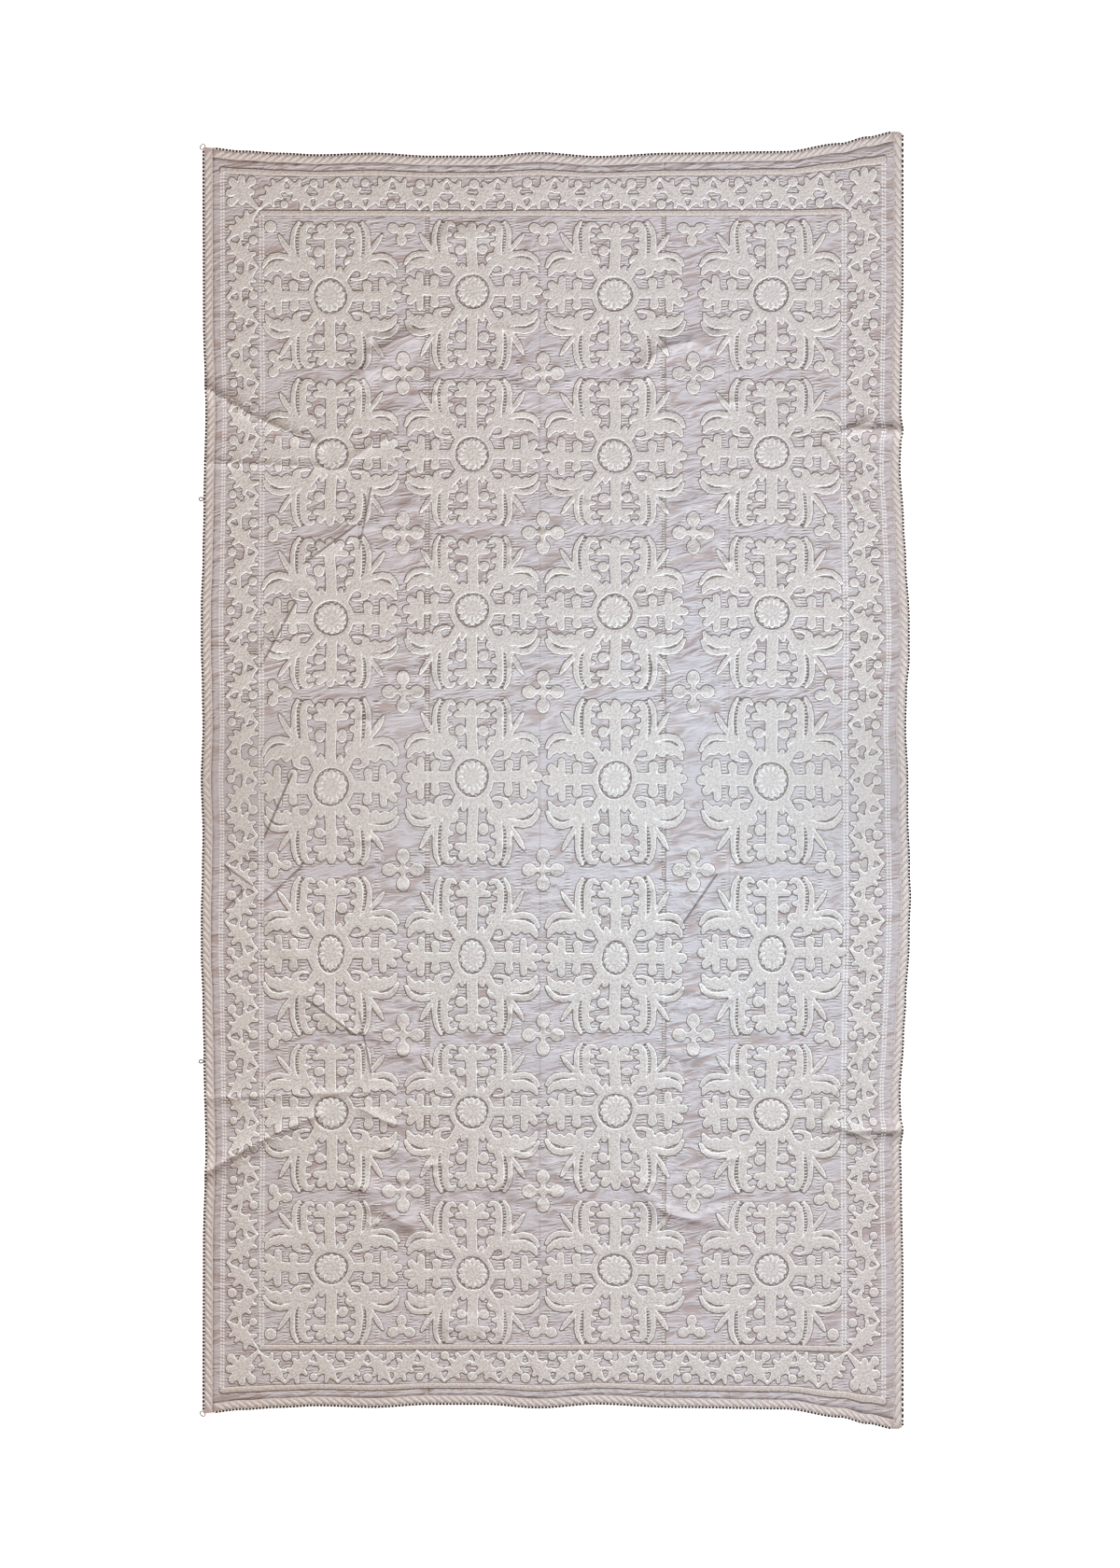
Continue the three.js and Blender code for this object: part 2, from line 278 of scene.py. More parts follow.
# %% Camera straight above the middle
IMAGE_HEIGHT_PX = 1680
MM_PER_PX = 1.727
CAMERA_AIM = (0.0104, -0.0069)
SENSOR = 36.0
LENS = 100.0

camera_data = bpy.data.cameras.new("camera")
camera_data.sensor_width = SENSOR
camera_data.lens = LENS
camera = bpy.data.objects.new("camera", camera_data)
bpy.context.collection.objects.link(camera)
camera.location = (*CAMERA_AIM, IMAGE_HEIGHT_PX * MM_PER_PX * MM * LENS / SENSOR)
bpy.context.scene.camera = camera
bpy.context.scene.view_settings.view_transform = "Standard"
print("camera height in metres:", round(camera.location.z, 3))

# %% Lamps, sky and floor
LAMP_HEIGHT = 16.0
LAMP_BACK = 18.0
LAMP_RIGHT = 7.0
LAMP_SOFTNESS = 0.12
LAMP_WATTS = 27900.0
LAMP_COLOUR = (0.85, 0.93, 0.98)
LAMP_CONE = math.radians(25)
STRIP_PLACE = (0.34, 0.0, 0.7)
STRIP_SIZE = (0.2, 3.6)
STRIP_WATTS = 4.1
STRIP_COLOUR = (0.43, 0.7, 1.0)
POOL_PLACE = (0.24, -0.12, 1.5)
POOL_CONE = math.radians(56)
POOL_WATTS = 12.0
POOL_COLOUR = (0.25, 0.72, 1.0)
SKY_COLOUR = (0.36, 0.27, 0.21, 1)
SKY_STRENGTH = 1.0
FLOOR_SIZE = 200
FLOOR_HEIGHT = -0.001


def new_lamp(name, kind, place, watts, colour):
    light = bpy.data.lights.new(name, kind)
    light.energy = watts
    light.color = colour
    lamp = bpy.data.objects.new(name, light)
    bpy.context.collection.objects.link(lamp)
    lamp.location = place
    return lamp


def add_far_lamp(name, sign):
    """A far spot whose cone touches the middle line of the cloth and covers one half of it."""
    place = Vector((LAMP_RIGHT, -sign * LAMP_BACK, LAMP_HEIGHT))
    to_middle = -place.normalized()
    off_line = to_middle.cross(Vector((-sign, 0, 0))).normalized()
    throw = to_middle * math.cos(LAMP_CONE) + off_line * math.sin(LAMP_CONE)
    lamp = new_lamp(name, "SPOT", place, LAMP_WATTS, LAMP_COLOUR)
    lamp.rotation_euler = throw.to_track_quat("-Z", "Y").to_euler()
    lamp.data.shadow_soft_size = LAMP_SOFTNESS
    lamp.data.spot_size = 2 * LAMP_CONE
    lamp.data.spot_blend = 0.0


add_far_lamp("lamp_upper", 1)
add_far_lamp("lamp_lower", -1)

strip_lamp = new_lamp("lamp_strip", "AREA", STRIP_PLACE, STRIP_WATTS, STRIP_COLOUR)
strip_lamp.visible_camera = False
strip_lamp.data.shape = "RECTANGLE"
strip_lamp.data.size, strip_lamp.data.size_y = STRIP_SIZE
pool_lamp = new_lamp("lamp_pool", "SPOT", POOL_PLACE, POOL_WATTS, POOL_COLOUR)
pool_lamp.visible_camera = False
pool_lamp.data.spot_size = POOL_CONE
pool_lamp.data.spot_blend = 1.0

sky = bpy.data.worlds.new("sky")
bpy.context.scene.world = sky
sky.use_nodes = True
sky.node_tree.nodes["Background"].inputs["Color"].default_value = SKY_COLOUR
sky.node_tree.nodes["Background"].inputs["Strength"].default_value = SKY_STRENGTH

bpy.ops.object.select_all(action="DESELECT")
bpy.ops.mesh.primitive_plane_add(size=FLOOR_SIZE, location=(0, 0, FLOOR_HEIGHT))
floor = bpy.context.object
floor.name = "floor"
print("lamps, sky and floor made")

# %% [markdown]
# ## Materials
# Each finish is built from nodes. Small helpers add nodes and links. The pull in the silk, the grain of
# the thread and the creases are node groups, so several finishes can share them. Patterns read Object
# coordinates in metres, so a scale of 1 / 0.002 makes grain two millimetres across.

# %% Node helpers
def paint(red, green, blue):
    """A colour given as on a screen, 0 to 255, in Blender's linear values."""
    shares = [value / 255 for value in (red, green, blue)]
    linear = [s / 12.92 if s <= 0.04045 else ((s + 0.055) / 1.055) ** 2.4 for s in shares]
    return (*linear, 1.0)


def feed(tree, socket, value):
    """Links another node's output to a socket, or sets the socket to a constant."""
    if isinstance(value, bpy.types.NodeSocket):
        tree.links.new(value, socket)
    else:
        socket.default_value = value


def add_node(tree, kind, **values):
    """Adds a node. Names with a capital are input sockets, the others are settings."""
    node = tree.nodes.new(kind)
    for name, value in values.items():
        if name[0].isupper():
            feed(tree, node.inputs[name], value)
        else:
            setattr(node, name, value)
    return node


def mapped(tree, vector, **values):
    return add_node(tree, "ShaderNodeMapping", **values, Vector=vector).outputs["Vector"]


def split_place(tree, vector):
    return add_node(tree, "ShaderNodeSeparateXYZ", Vector=vector).outputs


def attribute(tree, name):
    return add_node(tree, "ShaderNodeAttribute", attribute_name=name).outputs["Fac"]


def noise(tree, vector, scale, detail, distortion=0.0):
    place = mapped(tree, vector, Scale=scale)
    settings = {"Scale": 1.0, "Detail": detail, "Distortion": distortion}
    return add_node(tree, "ShaderNodeTexNoise", Vector=place, **settings).outputs["Fac"]


def maths(tree, operation, first, second=0.0):
    node = add_node(tree, "ShaderNodeMath", operation=operation)
    feed(tree, node.inputs[0], first)
    feed(tree, node.inputs[1], second)
    return node.outputs[0]


def plus(tree, first, second):
    return maths(tree, "ADD", first, second)


def minus(tree, first, second):
    return maths(tree, "SUBTRACT", first, second)


def times(tree, first, second):
    return maths(tree, "MULTIPLY", first, second)


def blend_colours(tree, factor, first, second, how="MIX"):
    node = add_node(tree, "ShaderNodeMix", data_type="RGBA", blend_type=how)
    for number, value in ((0, factor), (6, first), (7, second)):
        feed(tree, node.inputs[number], value)
    return node.outputs[2]


def ramp(tree, factor, stops):
    node = add_node(tree, "ShaderNodeValToRGB", Fac=factor)
    elements = node.color_ramp.elements
    while len(elements) < len(stops):
        elements.new(0.5)
    for element, (position, colour) in zip(elements, stops):
        element.position = position
        element.color = colour
    return node.outputs["Color"]


def remap(tree, value, low, high, to_low=0.0, to_high=1.0):
    limits = {"From Min": low, "From Max": high, "To Min": to_low, "To Max": to_high}
    return add_node(tree, "ShaderNodeMapRange", Value=value, **limits).outputs["Result"]


def new_group(name, *results):
    """A node group that turns a place into one or two values."""
    tree = bpy.data.node_groups.new(name, "ShaderNodeTree")
    tree.interface.new_socket(name="Vector", in_out="INPUT", socket_type="NodeSocketVector")
    for result in results:
        tree.interface.new_socket(name=result, in_out="OUTPUT", socket_type="NodeSocketFloat")
    vector = tree.nodes.new("NodeGroupInput").outputs["Vector"]
    leave = tree.nodes.new("NodeGroupOutput").inputs
    return tree, vector, leave


def use_group(tree, group, vector):
    return add_node(tree, "ShaderNodeGroup", node_tree=group, Vector=vector).outputs


SPECULAR_LEVEL = 0.3
SHEEN_ROUGHNESS = 0.4


def new_finish(name, roughness, sheen=0.0):
    finish = bpy.data.materials.new(name)
    finish.use_nodes = True
    tree = finish.node_tree
    shader = tree.nodes["Principled BSDF"]
    shader.inputs["Roughness"].default_value = roughness
    shader.inputs["Specular IOR Level"].default_value = SPECULAR_LEVEL
    shader.inputs["Sheen Weight"].default_value = sheen
    shader.inputs["Sheen Roughness"].default_value = SHEEN_ROUGHNESS
    place = tree.nodes.new("ShaderNodeTexCoord").outputs["Object"]
    return finish, tree, shader, place


def set_relief(tree, shader, height):
    """Bump from a height in millimetres."""
    bumps = add_node(tree, "ShaderNodeBump", Strength=1.0, Distance=MM, Height=height)
    tree.links.new(bumps.outputs["Normal"], shader.inputs["Normal"])


print("node helpers ready")

# %% [markdown]
# The dense stitching pulls the silk into long, low ripples across the cloth. The first group is that
# pull: a coarse noise stretched along X and folded into sharp crests, a smaller one, and a fine one for
# the slubs of the weave.
# Threads, however they lie, share a second group with a short, speckled grain. The third group gives the
# creases their sharp crest, which is finer than the mesh: it measures how far a point is from each line.
# Most creases have a mirror image in the lower half, so for those it reads Y without its sign. Its other
# output is a mask for painted shade along each pinch, stronger where the pinch is deeper.

# %% Shared effects
PULL_TURN = -0.25
PULL_SCALE = (13, 44, 1)
PULL_SHARE = 0.62
SMALL_PULL_SCALE = (36, 135, 1)
SMALL_PULL_SHARE = 0.3
SLUB_SCALE = (260, 760, 1)
SLUB_SHARE = 0.11
SPECKLE_SCALE = (360, 360, 360)
SPECKLE_SHARE = 0.6
FIBRE_SCALE = (260, 900, 300)
FIBRE_SHARE = 0.4
GRAIN_RANGE = (0.35, 0.65)
GRAIN_TONES = (0.82, 1.15)
CREST_SHARE = 0.7
PINCH_CORE = 0.12
PINCH_REACH = 0.42


def make_pulled_silk():
    tree, vector, leave = new_group("pulled_silk", "Height")
    turned = mapped(tree, vector, Rotation=(0, 0, PULL_TURN))
    wave = noise(tree, turned, PULL_SCALE, detail=3.0, distortion=1.0)
    crest = minus(tree, 1.0, maths(tree, "ABSOLUTE", minus(tree, times(tree, wave, 2.0), 1.0)))
    ripple = noise(tree, vector, SMALL_PULL_SCALE, detail=3.0, distortion=0.9)
    slub = noise(tree, vector, SLUB_SCALE, detail=2.0)
    small = plus(tree, times(tree, ripple, SMALL_PULL_SHARE), times(tree, slub, SLUB_SHARE))
    sharp = times(tree, times(tree, crest, crest), PULL_SHARE)
    tree.links.new(plus(tree, sharp, small), leave["Height"])
    return tree


def make_thread_grain():
    tree, vector, leave = new_group("thread_grain", "Height", "Tone")
    speckle = noise(tree, vector, SPECKLE_SCALE, detail=2.0)
    fibre = noise(tree, vector, FIBRE_SCALE, detail=1.0, distortion=0.4)
    both = plus(tree, times(tree, speckle, SPECKLE_SHARE), times(tree, fibre, FIBRE_SHARE))
    tree.links.new(both, leave["Height"])
    tree.links.new(remap(tree, both, *GRAIN_RANGE, *GRAIN_TONES), leave["Tone"])
    return tree


def crest_of(tree, vector, fold):
    """Height of one crease in millimetres, highest on its line, and a mask of its line for painted shade.
    """
    run_x = fold.to_x - fold.from_x
    run_y = fold.to_y - fold.from_y
    length = math.hypot(run_x, run_y)
    own = mapped(
        tree, vector, vector_type="TEXTURE",
        Location=(fold.from_x * MM, fold.from_y * MM, 0),
        Rotation=(0, 0, math.atan2(run_y, run_x)),
        Scale=(length * MM, fold.half_width * MM, 1),
    )
    place = split_place(tree, own)
    share = maths(tree, "MINIMUM", maths(tree, "MAXIMUM", place["X"], 0.0), 1.0)
    bow = times(tree, times(tree, share, minus(tree, 1.0, share)), 4 * fold.bow / fold.half_width)
    aside = minus(tree, place["Y"], bow)
    beyond = times(tree, minus(tree, place["X"], share), length / fold.half_width)
    away = maths(tree, "SQRT", plus(tree, times(tree, aside, aside), times(tree, beyond, beyond)))
    rise = maths(tree, "MAXIMUM", minus(tree, 1.0, away), 0.0)
    height = remap(tree, share, 0, 1, fold.from_height * CREST_SHARE, fold.to_height * CREST_SHARE)
    line = times(tree, height, remap(tree, away, PINCH_CORE, PINCH_REACH, 1, 0))
    return times(tree, height, times(tree, rise, rise)), line


def make_crease_crests():
    tree, vector, leave = new_group("crease_crests", "Height", "Line")
    place = split_place(tree, vector)
    upper = add_node(tree, "ShaderNodeCombineXYZ", X=place["X"], Y=maths(tree, "ABSOLUTE", place["Y"]))
    total = 0.0
    lines = 0.0
    for fold in SHARP_CREASES + PINCHES:
        crest, line = crest_of(tree, upper.outputs["Vector"] if fold.mirrored else vector, fold)
        total = plus(tree, total, crest)
        if fold in PINCHES:
            lines = maths(tree, "MAXIMUM", lines, line)
    tree.links.new(total, leave["Height"])
    tree.links.new(lines, leave["Line"])
    return tree


PULLED_SILK = make_pulled_silk()
THREAD_GRAIN = make_thread_grain()
CREASE_CRESTS = make_crease_crests()
print("shared effects:", PULLED_SILK.name, THREAD_GRAIN.name, CREASE_CRESTS.name)

# %% [markdown]
# The ground is shot silk, one thread colour along and another across. A ramp on the ripple height paints
# the hollows darker and warmer, as shade, and the crests paler and cooler, as highlight. Each strip
# carries an attribute called near, which says how close the stitching is: beside a motif the needle's
# pull shows as fine rows of pale thread, with painted shade between them.
# Three pressed lines show where the cloth was folded in the chest: a bump sinks them a little, and their
# line is painted darker as shade. The silk along the two sides is a little darker.

# %% Silk ground
# silk tone with painted shade in the ripple hollows and painted highlight on the crests
SILK_PAINTED_HOLLOW_SHADE_AND_CREST_HIGHLIGHT = [(0.47, paint(178, 161, 157)), (0.6, paint(190, 178, 177)), (0.72, paint(201, 193, 195))]
# painted shade for the pulled rows, the pressed lines and the foot of the motifs, and the darker tone of
# the two sides
SILK_DARK_AND_PAINTED_SHADE = paint(170, 153, 149)
SILK_THREAD = paint(222, 219, 217)
PULL_RISE = 3.8
COMB_PITCH = 5.2
WAVE_BANDS = 20
COMB_PATCH_SCALE = (55, 40, 1)
COMB_PATCHES = (0.5, 0.58)
COMB_NEAR = (0.2, 0.5)
COMB_SHARE = 0.55
COMB_RISE = 1.1
FIELD_HALF_WIDTH = 0.51
SIDE_DARKENING_REACH = 0.05
SIDE_DARKENING_SHARE = 0.25
PRESSED_LINES = (-27.6, -362.7, 323.0)
PRESSED_HALF_WIDTH = 2.2
PRESSED_SHADE_SHARE = 0.35
PRESS_DEPTH = 0.5
# painted shade along the pinched creases, which are too narrow for the mesh to shade
PINCH_SHADE = paint(112, 96, 90)
PINCH_SHARE = 0.95


def pressed_lines(tree, place):
    across = split_place(tree, place)["X"]
    total = 0.0
    for line in PRESSED_LINES:
        offset = maths(tree, "ABSOLUTE", minus(tree, across, line * MM))
        total = maths(tree, "MAXIMUM", total, remap(tree, offset, 0, PRESSED_HALF_WIDTH * MM, 1, 0))
    return total


def comb(tree, place, near):
    """Fine rows where the stitches pull the silk, only close to a motif, with painted shade between them.
    """
    scale = 2 * math.pi / (WAVE_BANDS * COMB_PITCH * MM)
    settings = {"Scale": scale, "Distortion": 1.6, "Detail": 1.0, "Detail Scale": 0.6}
    wave = add_node(tree, "ShaderNodeTexWave", bands_direction="Y", Vector=place, **settings)
    patches = remap(tree, noise(tree, place, COMB_PATCH_SCALE, detail=1.0), *COMB_PATCHES)
    return wave.outputs["Fac"], times(tree, remap(tree, near, *COMB_NEAR), patches)


def crease_over(tree, place, colour):
    """A colour with painted shade along the pinches, and the height of the creases."""
    creases = use_group(tree, CREASE_CRESTS, place)
    painted_pinch_shade = times(tree, creases["Line"], PINCH_SHARE)
    return blend_colours(tree, painted_pinch_shade, colour, PINCH_SHADE), creases["Height"]


def make_silk():
    finish, tree, shader, place = new_finish("shot_silk", roughness=0.48, sheen=0.1)
    pulled = use_group(tree, PULLED_SILK, place)["Height"]
    teeth, mask = comb(tree, place, attribute(tree, "near"))
    # pale thread rows with painted shade between them
    threads = blend_colours(tree, teeth, SILK_DARK_AND_PAINTED_SHADE, SILK_THREAD)
    colour = blend_colours(tree, times(tree, mask, COMB_SHARE), ramp(tree, pulled, SILK_PAINTED_HOLLOW_SHADE_AND_CREST_HIGHLIGHT), threads)
    outwards = maths(tree, "ABSOLUTE", split_place(tree, place)["X"])
    # darker towards the two sides
    side_darkening = remap(tree, outwards, FIELD_HALF_WIDTH, FIELD_HALF_WIDTH + SIDE_DARKENING_REACH, 0.0, SIDE_DARKENING_SHARE)
    colour = blend_colours(tree, side_darkening, colour, SILK_DARK_AND_PAINTED_SHADE)
    pressed = pressed_lines(tree, place)
    # painted shade along the pressed lines
    colour = blend_colours(tree, times(tree, pressed, PRESSED_SHADE_SHARE), colour, SILK_DARK_AND_PAINTED_SHADE)
    colour, creases = crease_over(tree, place, colour)
    tree.links.new(colour, shader.inputs["Base Color"])
    height = plus(tree, creases, times(tree, pulled, PULL_RISE))
    height = minus(tree, height, times(tree, pressed, PRESS_DEPTH))
    combed = times(tree, times(tree, teeth, mask), COMB_RISE)
    set_relief(tree, shader, plus(tree, height, combed))
    return finish


SILK = make_silk()
print("finish:", SILK.name)

# %% [markdown]
# The embroidery is ivory floss laid so densely that it stands about a millimetre proud. Its outline is a
# line of light chain stitch, painted paler than the fill as a highlight on the raised edge, with a
# painted shadow line where the needle pulls the silk down, and its fill is couched: long threads held
# down by small slanting stitches, which are cells of a stretched and turned Voronoi texture, each painted
# darker towards its edge as shade. The relief carries an attribute called inset, the distance in
# millimetres from the motif's outline. One ramp on it paints the shadow line, the highlighted outline, a
# groove of painted shade and the fill, and another gives the bump its rounded edge.

# %% Floss, thread and braid
# painted shade: the dark core of the shadow line, and the bed under the ladder bars
FLOSS_PAINTED_GAP_SHADE = paint(122, 107, 100)
FLOSS_SHADOW = paint(138, 121, 114)
# light outline thread, painted paler as a highlight on the raised edge
FLOSS_OUTLINE_HIGHLIGHT = paint(242, 238, 234)
FLOSS_GROOVE_SHADE = paint(204, 192, 187)
FLOSS_FILL = paint(214, 205, 199)
RIBBON_OUTLINE_HIGHLIGHT = paint(218, 207, 200)
RIBBON_FILL = paint(206, 193, 185)
THREAD_LIGHT = paint(232, 227, 222)
# dark pads between short stitches: painted shade where the silk shows between them
THREAD_PAINTED_SHADE = paint(132, 116, 110)
BRAID_SAND = paint(188, 171, 164)
BRAID_LIGHT = paint(214, 204, 198)
PICOT_LIGHT = paint(246, 242, 238)
PICOT_DARK = paint(46, 34, 31)
LOOP_IVORY = paint(116, 100, 92)
INSET_LOW = -2.5
INSET_HIGH = 5.0
STITCH_LENGTH = 6.2
STITCH_WIDTH = 3.2
STITCH_TURN = math.radians(-42)
STITCH_REACH = 0.7
STITCH_TOP = 0.8
# each couching stitch is painted darker towards its edge, as shade between stitches
STITCH_PAINTED_SHADES = (0.84, 1.06)
STITCH_RISE = 0.5
GRAIN_RISE = 0.4
EDGE_RISE = 1.4
EDGE_PROFILE = [(-1.9, 0.0), (-0.7, 0.1), (0.3, 0.8), (0.9, 1.0), (1.6, 0.95), (2.1, 0.82), (3.0, 0.95)]


def inset_ramp(tree, inset, stops):
    """A colour for each distance from a motif's outline."""
    depth = remap(tree, inset, INSET_LOW, INSET_HIGH)
    span = INSET_HIGH - INSET_LOW
    return ramp(tree, depth, [((at - INSET_LOW) / span, colour) for at, colour in stops])


def make_floss(name, outline, fill):
    finish, tree, shader, place = new_finish(name, roughness=0.62, sheen=0.05)
    grain = use_group(tree, THREAD_GRAIN, place)
    inset = attribute(tree, "inset")
    # painted shadow line with a darker core, a paler outline as painted highlight, a groove of painted
    # shade, then the fill
    bands = inset_ramp(tree, inset, [
        (-1.9, SILK_DARK_AND_PAINTED_SHADE), (-1.6, FLOSS_SHADOW), (-1.4, FLOSS_SHADOW), (-1.3, FLOSS_PAINTED_GAP_SHADE),
        (-1.2, FLOSS_SHADOW), (-0.9, FLOSS_SHADOW), (-0.3, outline), (1.2, outline),
        (1.9, FLOSS_GROOVE_SHADE), (2.5, fill),
    ])
    slanting = mapped(tree, place, Rotation=(0, 0, STITCH_TURN))
    cells = mapped(tree, slanting, Scale=(1 / (STITCH_LENGTH * MM), 1 / (STITCH_WIDTH * MM), 1))
    stitches = add_node(tree, "ShaderNodeTexVoronoi", voronoi_dimensions="2D", Vector=cells, Scale=1.0)
    mound = remap(tree, stitches.outputs["Distance"], 0.0, STITCH_REACH, 1, 0)
    # painted shade towards the edge of each stitch
    shade = remap(tree, mound, 0, STITCH_TOP, *STITCH_PAINTED_SHADES)
    colour = blend_colours(tree, 1.0, bands, grain["Tone"], "MULTIPLY")
    colour = blend_colours(tree, 1.0, colour, shade, "MULTIPLY")
    colour, creases = crease_over(tree, place, colour)
    tree.links.new(colour, shader.inputs["Base Color"])
    edge = inset_ramp(tree, inset, [(at, (rise, rise, rise, 1)) for at, rise in EDGE_PROFILE])
    texture = plus(tree, times(tree, grain["Height"], GRAIN_RISE), times(tree, mound, STITCH_RISE))
    height = plus(tree, texture, times(tree, edge, EDGE_RISE))
    set_relief(tree, shader, plus(tree, height, creases))
    return finish


def make_thread(name, colour, roughness):
    finish, tree, shader, place = new_finish(name, roughness, sheen=0.1)
    grain = use_group(tree, THREAD_GRAIN, place)
    toned = blend_colours(tree, 1.0, colour, grain["Tone"], "MULTIPLY")
    tree.links.new(toned, shader.inputs["Base Color"])
    set_relief(tree, shader, times(tree, grain["Height"], GRAIN_RISE))
    return finish


FLOSS = make_floss("dense_floss", FLOSS_OUTLINE_HIGHLIGHT, FLOSS_FILL)
RIBBON_FLOSS = make_floss("ribbon_floss", RIBBON_OUTLINE_HIGHLIGHT, RIBBON_FILL)
THREAD = make_thread("outline_thread", THREAD_LIGHT, 0.6)
PAINTED_SHADE_THREAD = make_thread("painted_shade_thread", THREAD_PAINTED_SHADE, 0.7)
BRAID_GROUND = make_thread("braid_ground", BRAID_SAND, 0.75)
BRAID_ROPE = make_thread("braid_rope", BRAID_LIGHT, 0.7)
PICOT = make_thread("picot_dark_thread", PICOT_DARK, 0.8)
PICOT_CREAM = make_thread("picot_cream_thread", PICOT_LIGHT, 0.8)
LOOP = make_thread("loop_cord", LOOP_IVORY, 0.8)
print("thread finishes made")

# %% Floor finish
FLOOR_TONES = [(0.3, paint(247, 247, 247)), (0.7, paint(252, 252, 252))]
FLOOR_GRAIN_SCALE = (60, 60, 60)


def make_floor_finish():
    finish, tree, shader, place = new_finish("pale_floor", roughness=0.9)
    speckle = noise(tree, place, FLOOR_GRAIN_SCALE, detail=3.0)
    tree.links.new(ramp(tree, speckle, FLOOR_TONES), shader.inputs["Base Color"])
    shader.inputs["Emission Color"].default_value = (1, 1, 1, 1)
    shader.inputs["Emission Strength"].default_value = 1.0
    return finish


floor.data.materials.append(make_floor_finish())
print("floor finish made")

# %% [markdown]
# ## Drawing the motifs
# Suzani motifs are drawn on the cloth freehand before they are stitched, and the same few shapes come
# back again and again: ringed rosettes with curling horns and leaves, small crosses of four petals and a
# zigzag vine. Here a motif is a set of strokes, each a chain of discs with a place and a radius. All
# strokes go onto one fine drawing grid over the flat cut, which holds at each point how deep it lies
# inside the nearest motif. That depth later gives the relief its outline and its rounded edge.

# %% The drawing grid
GRID_STEP = 2.7
FAR_OUTSIDE = -24.0
WINDOW_MARGIN = 22.0

grid_x = np.arange(CLOTH_LEFT, CLOTH_RIGHT, GRID_STEP)
grid_y = np.arange(-CLOTH_END, CLOTH_END, GRID_STEP)


def blank_drawing():
    return np.full((grid_y.size, grid_x.size), FAR_OUTSIDE)


def window(low_x, high_x, low_y, high_y):
    columns = slice(*np.searchsorted(grid_x, (low_x - WINDOW_MARGIN, high_x + WINDOW_MARGIN)))
    rows = slice(*np.searchsorted(grid_y, (low_y - WINDOW_MARGIN, high_y + WINDOW_MARGIN)))
    x, y = np.meshgrid(grid_x[columns], grid_y[rows])
    return (rows, columns), x, y


def stroke_depth(stroke, x, y):
    """How deep points lie inside a chain of discs (x, y, radius)."""
    start_x, start_y, start_radius = stroke[0]
    depth = start_radius - np.hypot(x - start_x, y - start_y)
    for (ax, ay, ar), (bx, by, br) in zip(stroke, stroke[1:]):
        run_x = bx - ax
        run_y = by - ay
        share = np.clip(((x - ax) * run_x + (y - ay) * run_y) / (run_x**2 + run_y**2), 0, 1)
        away = np.hypot(x - ax - run_x * share, y - ay - run_y * share)
        depth = np.maximum(depth, ar + (br - ar) * share - away)
    return depth


def add_to(drawing, place, depth):
    drawing[place] = np.maximum(drawing[place], depth)


def draw_stroke(drawing, stroke):
    xs, ys, radii = (np.array(values) for values in zip(*stroke))
    place, x, y = window((xs - radii).min(), (xs + radii).max(), (ys - radii).min(), (ys + radii).max())
    add_to(drawing, place, stroke_depth(stroke, x, y))


LATTICE = 64
LATTICE_SHIFT = 1000


def soft_noise(x, y, cell, seed):
    """Smooth values from 0 to 1 that change over about one cell, for an uneven hand."""
    lattice = np.random.default_rng(seed).random((LATTICE, LATTICE))
    across = x / cell + LATTICE_SHIFT
    up = y / cell + LATTICE_SHIFT
    column = np.floor(across).astype(int)
    row = np.floor(up).astype(int)
    share_x = ease(across - column)
    share_y = ease(up - row)

    def corner(row_step, column_step):
        return lattice[(row + row_step) % LATTICE, (column + column_step) % LATTICE]

    low = corner(0, 0) * (1 - share_x) + corner(0, 1) * share_x
    high = corner(1, 0) * (1 - share_x) + corner(1, 1) * share_x
    return low * (1 - share_y) + high * share_y


print("drawing grid:", grid_x.size, "by", grid_y.size)

# %% [markdown]
# A rosette has four like quarters, so only one is written down, from the middle of its ring outwards.
# The ring is a hole in the solid middle, and a small flower of many petals fills it. The open ladder
# gets a bed, a part that stays sunken and is painted dark as shade, for the bars that come later.

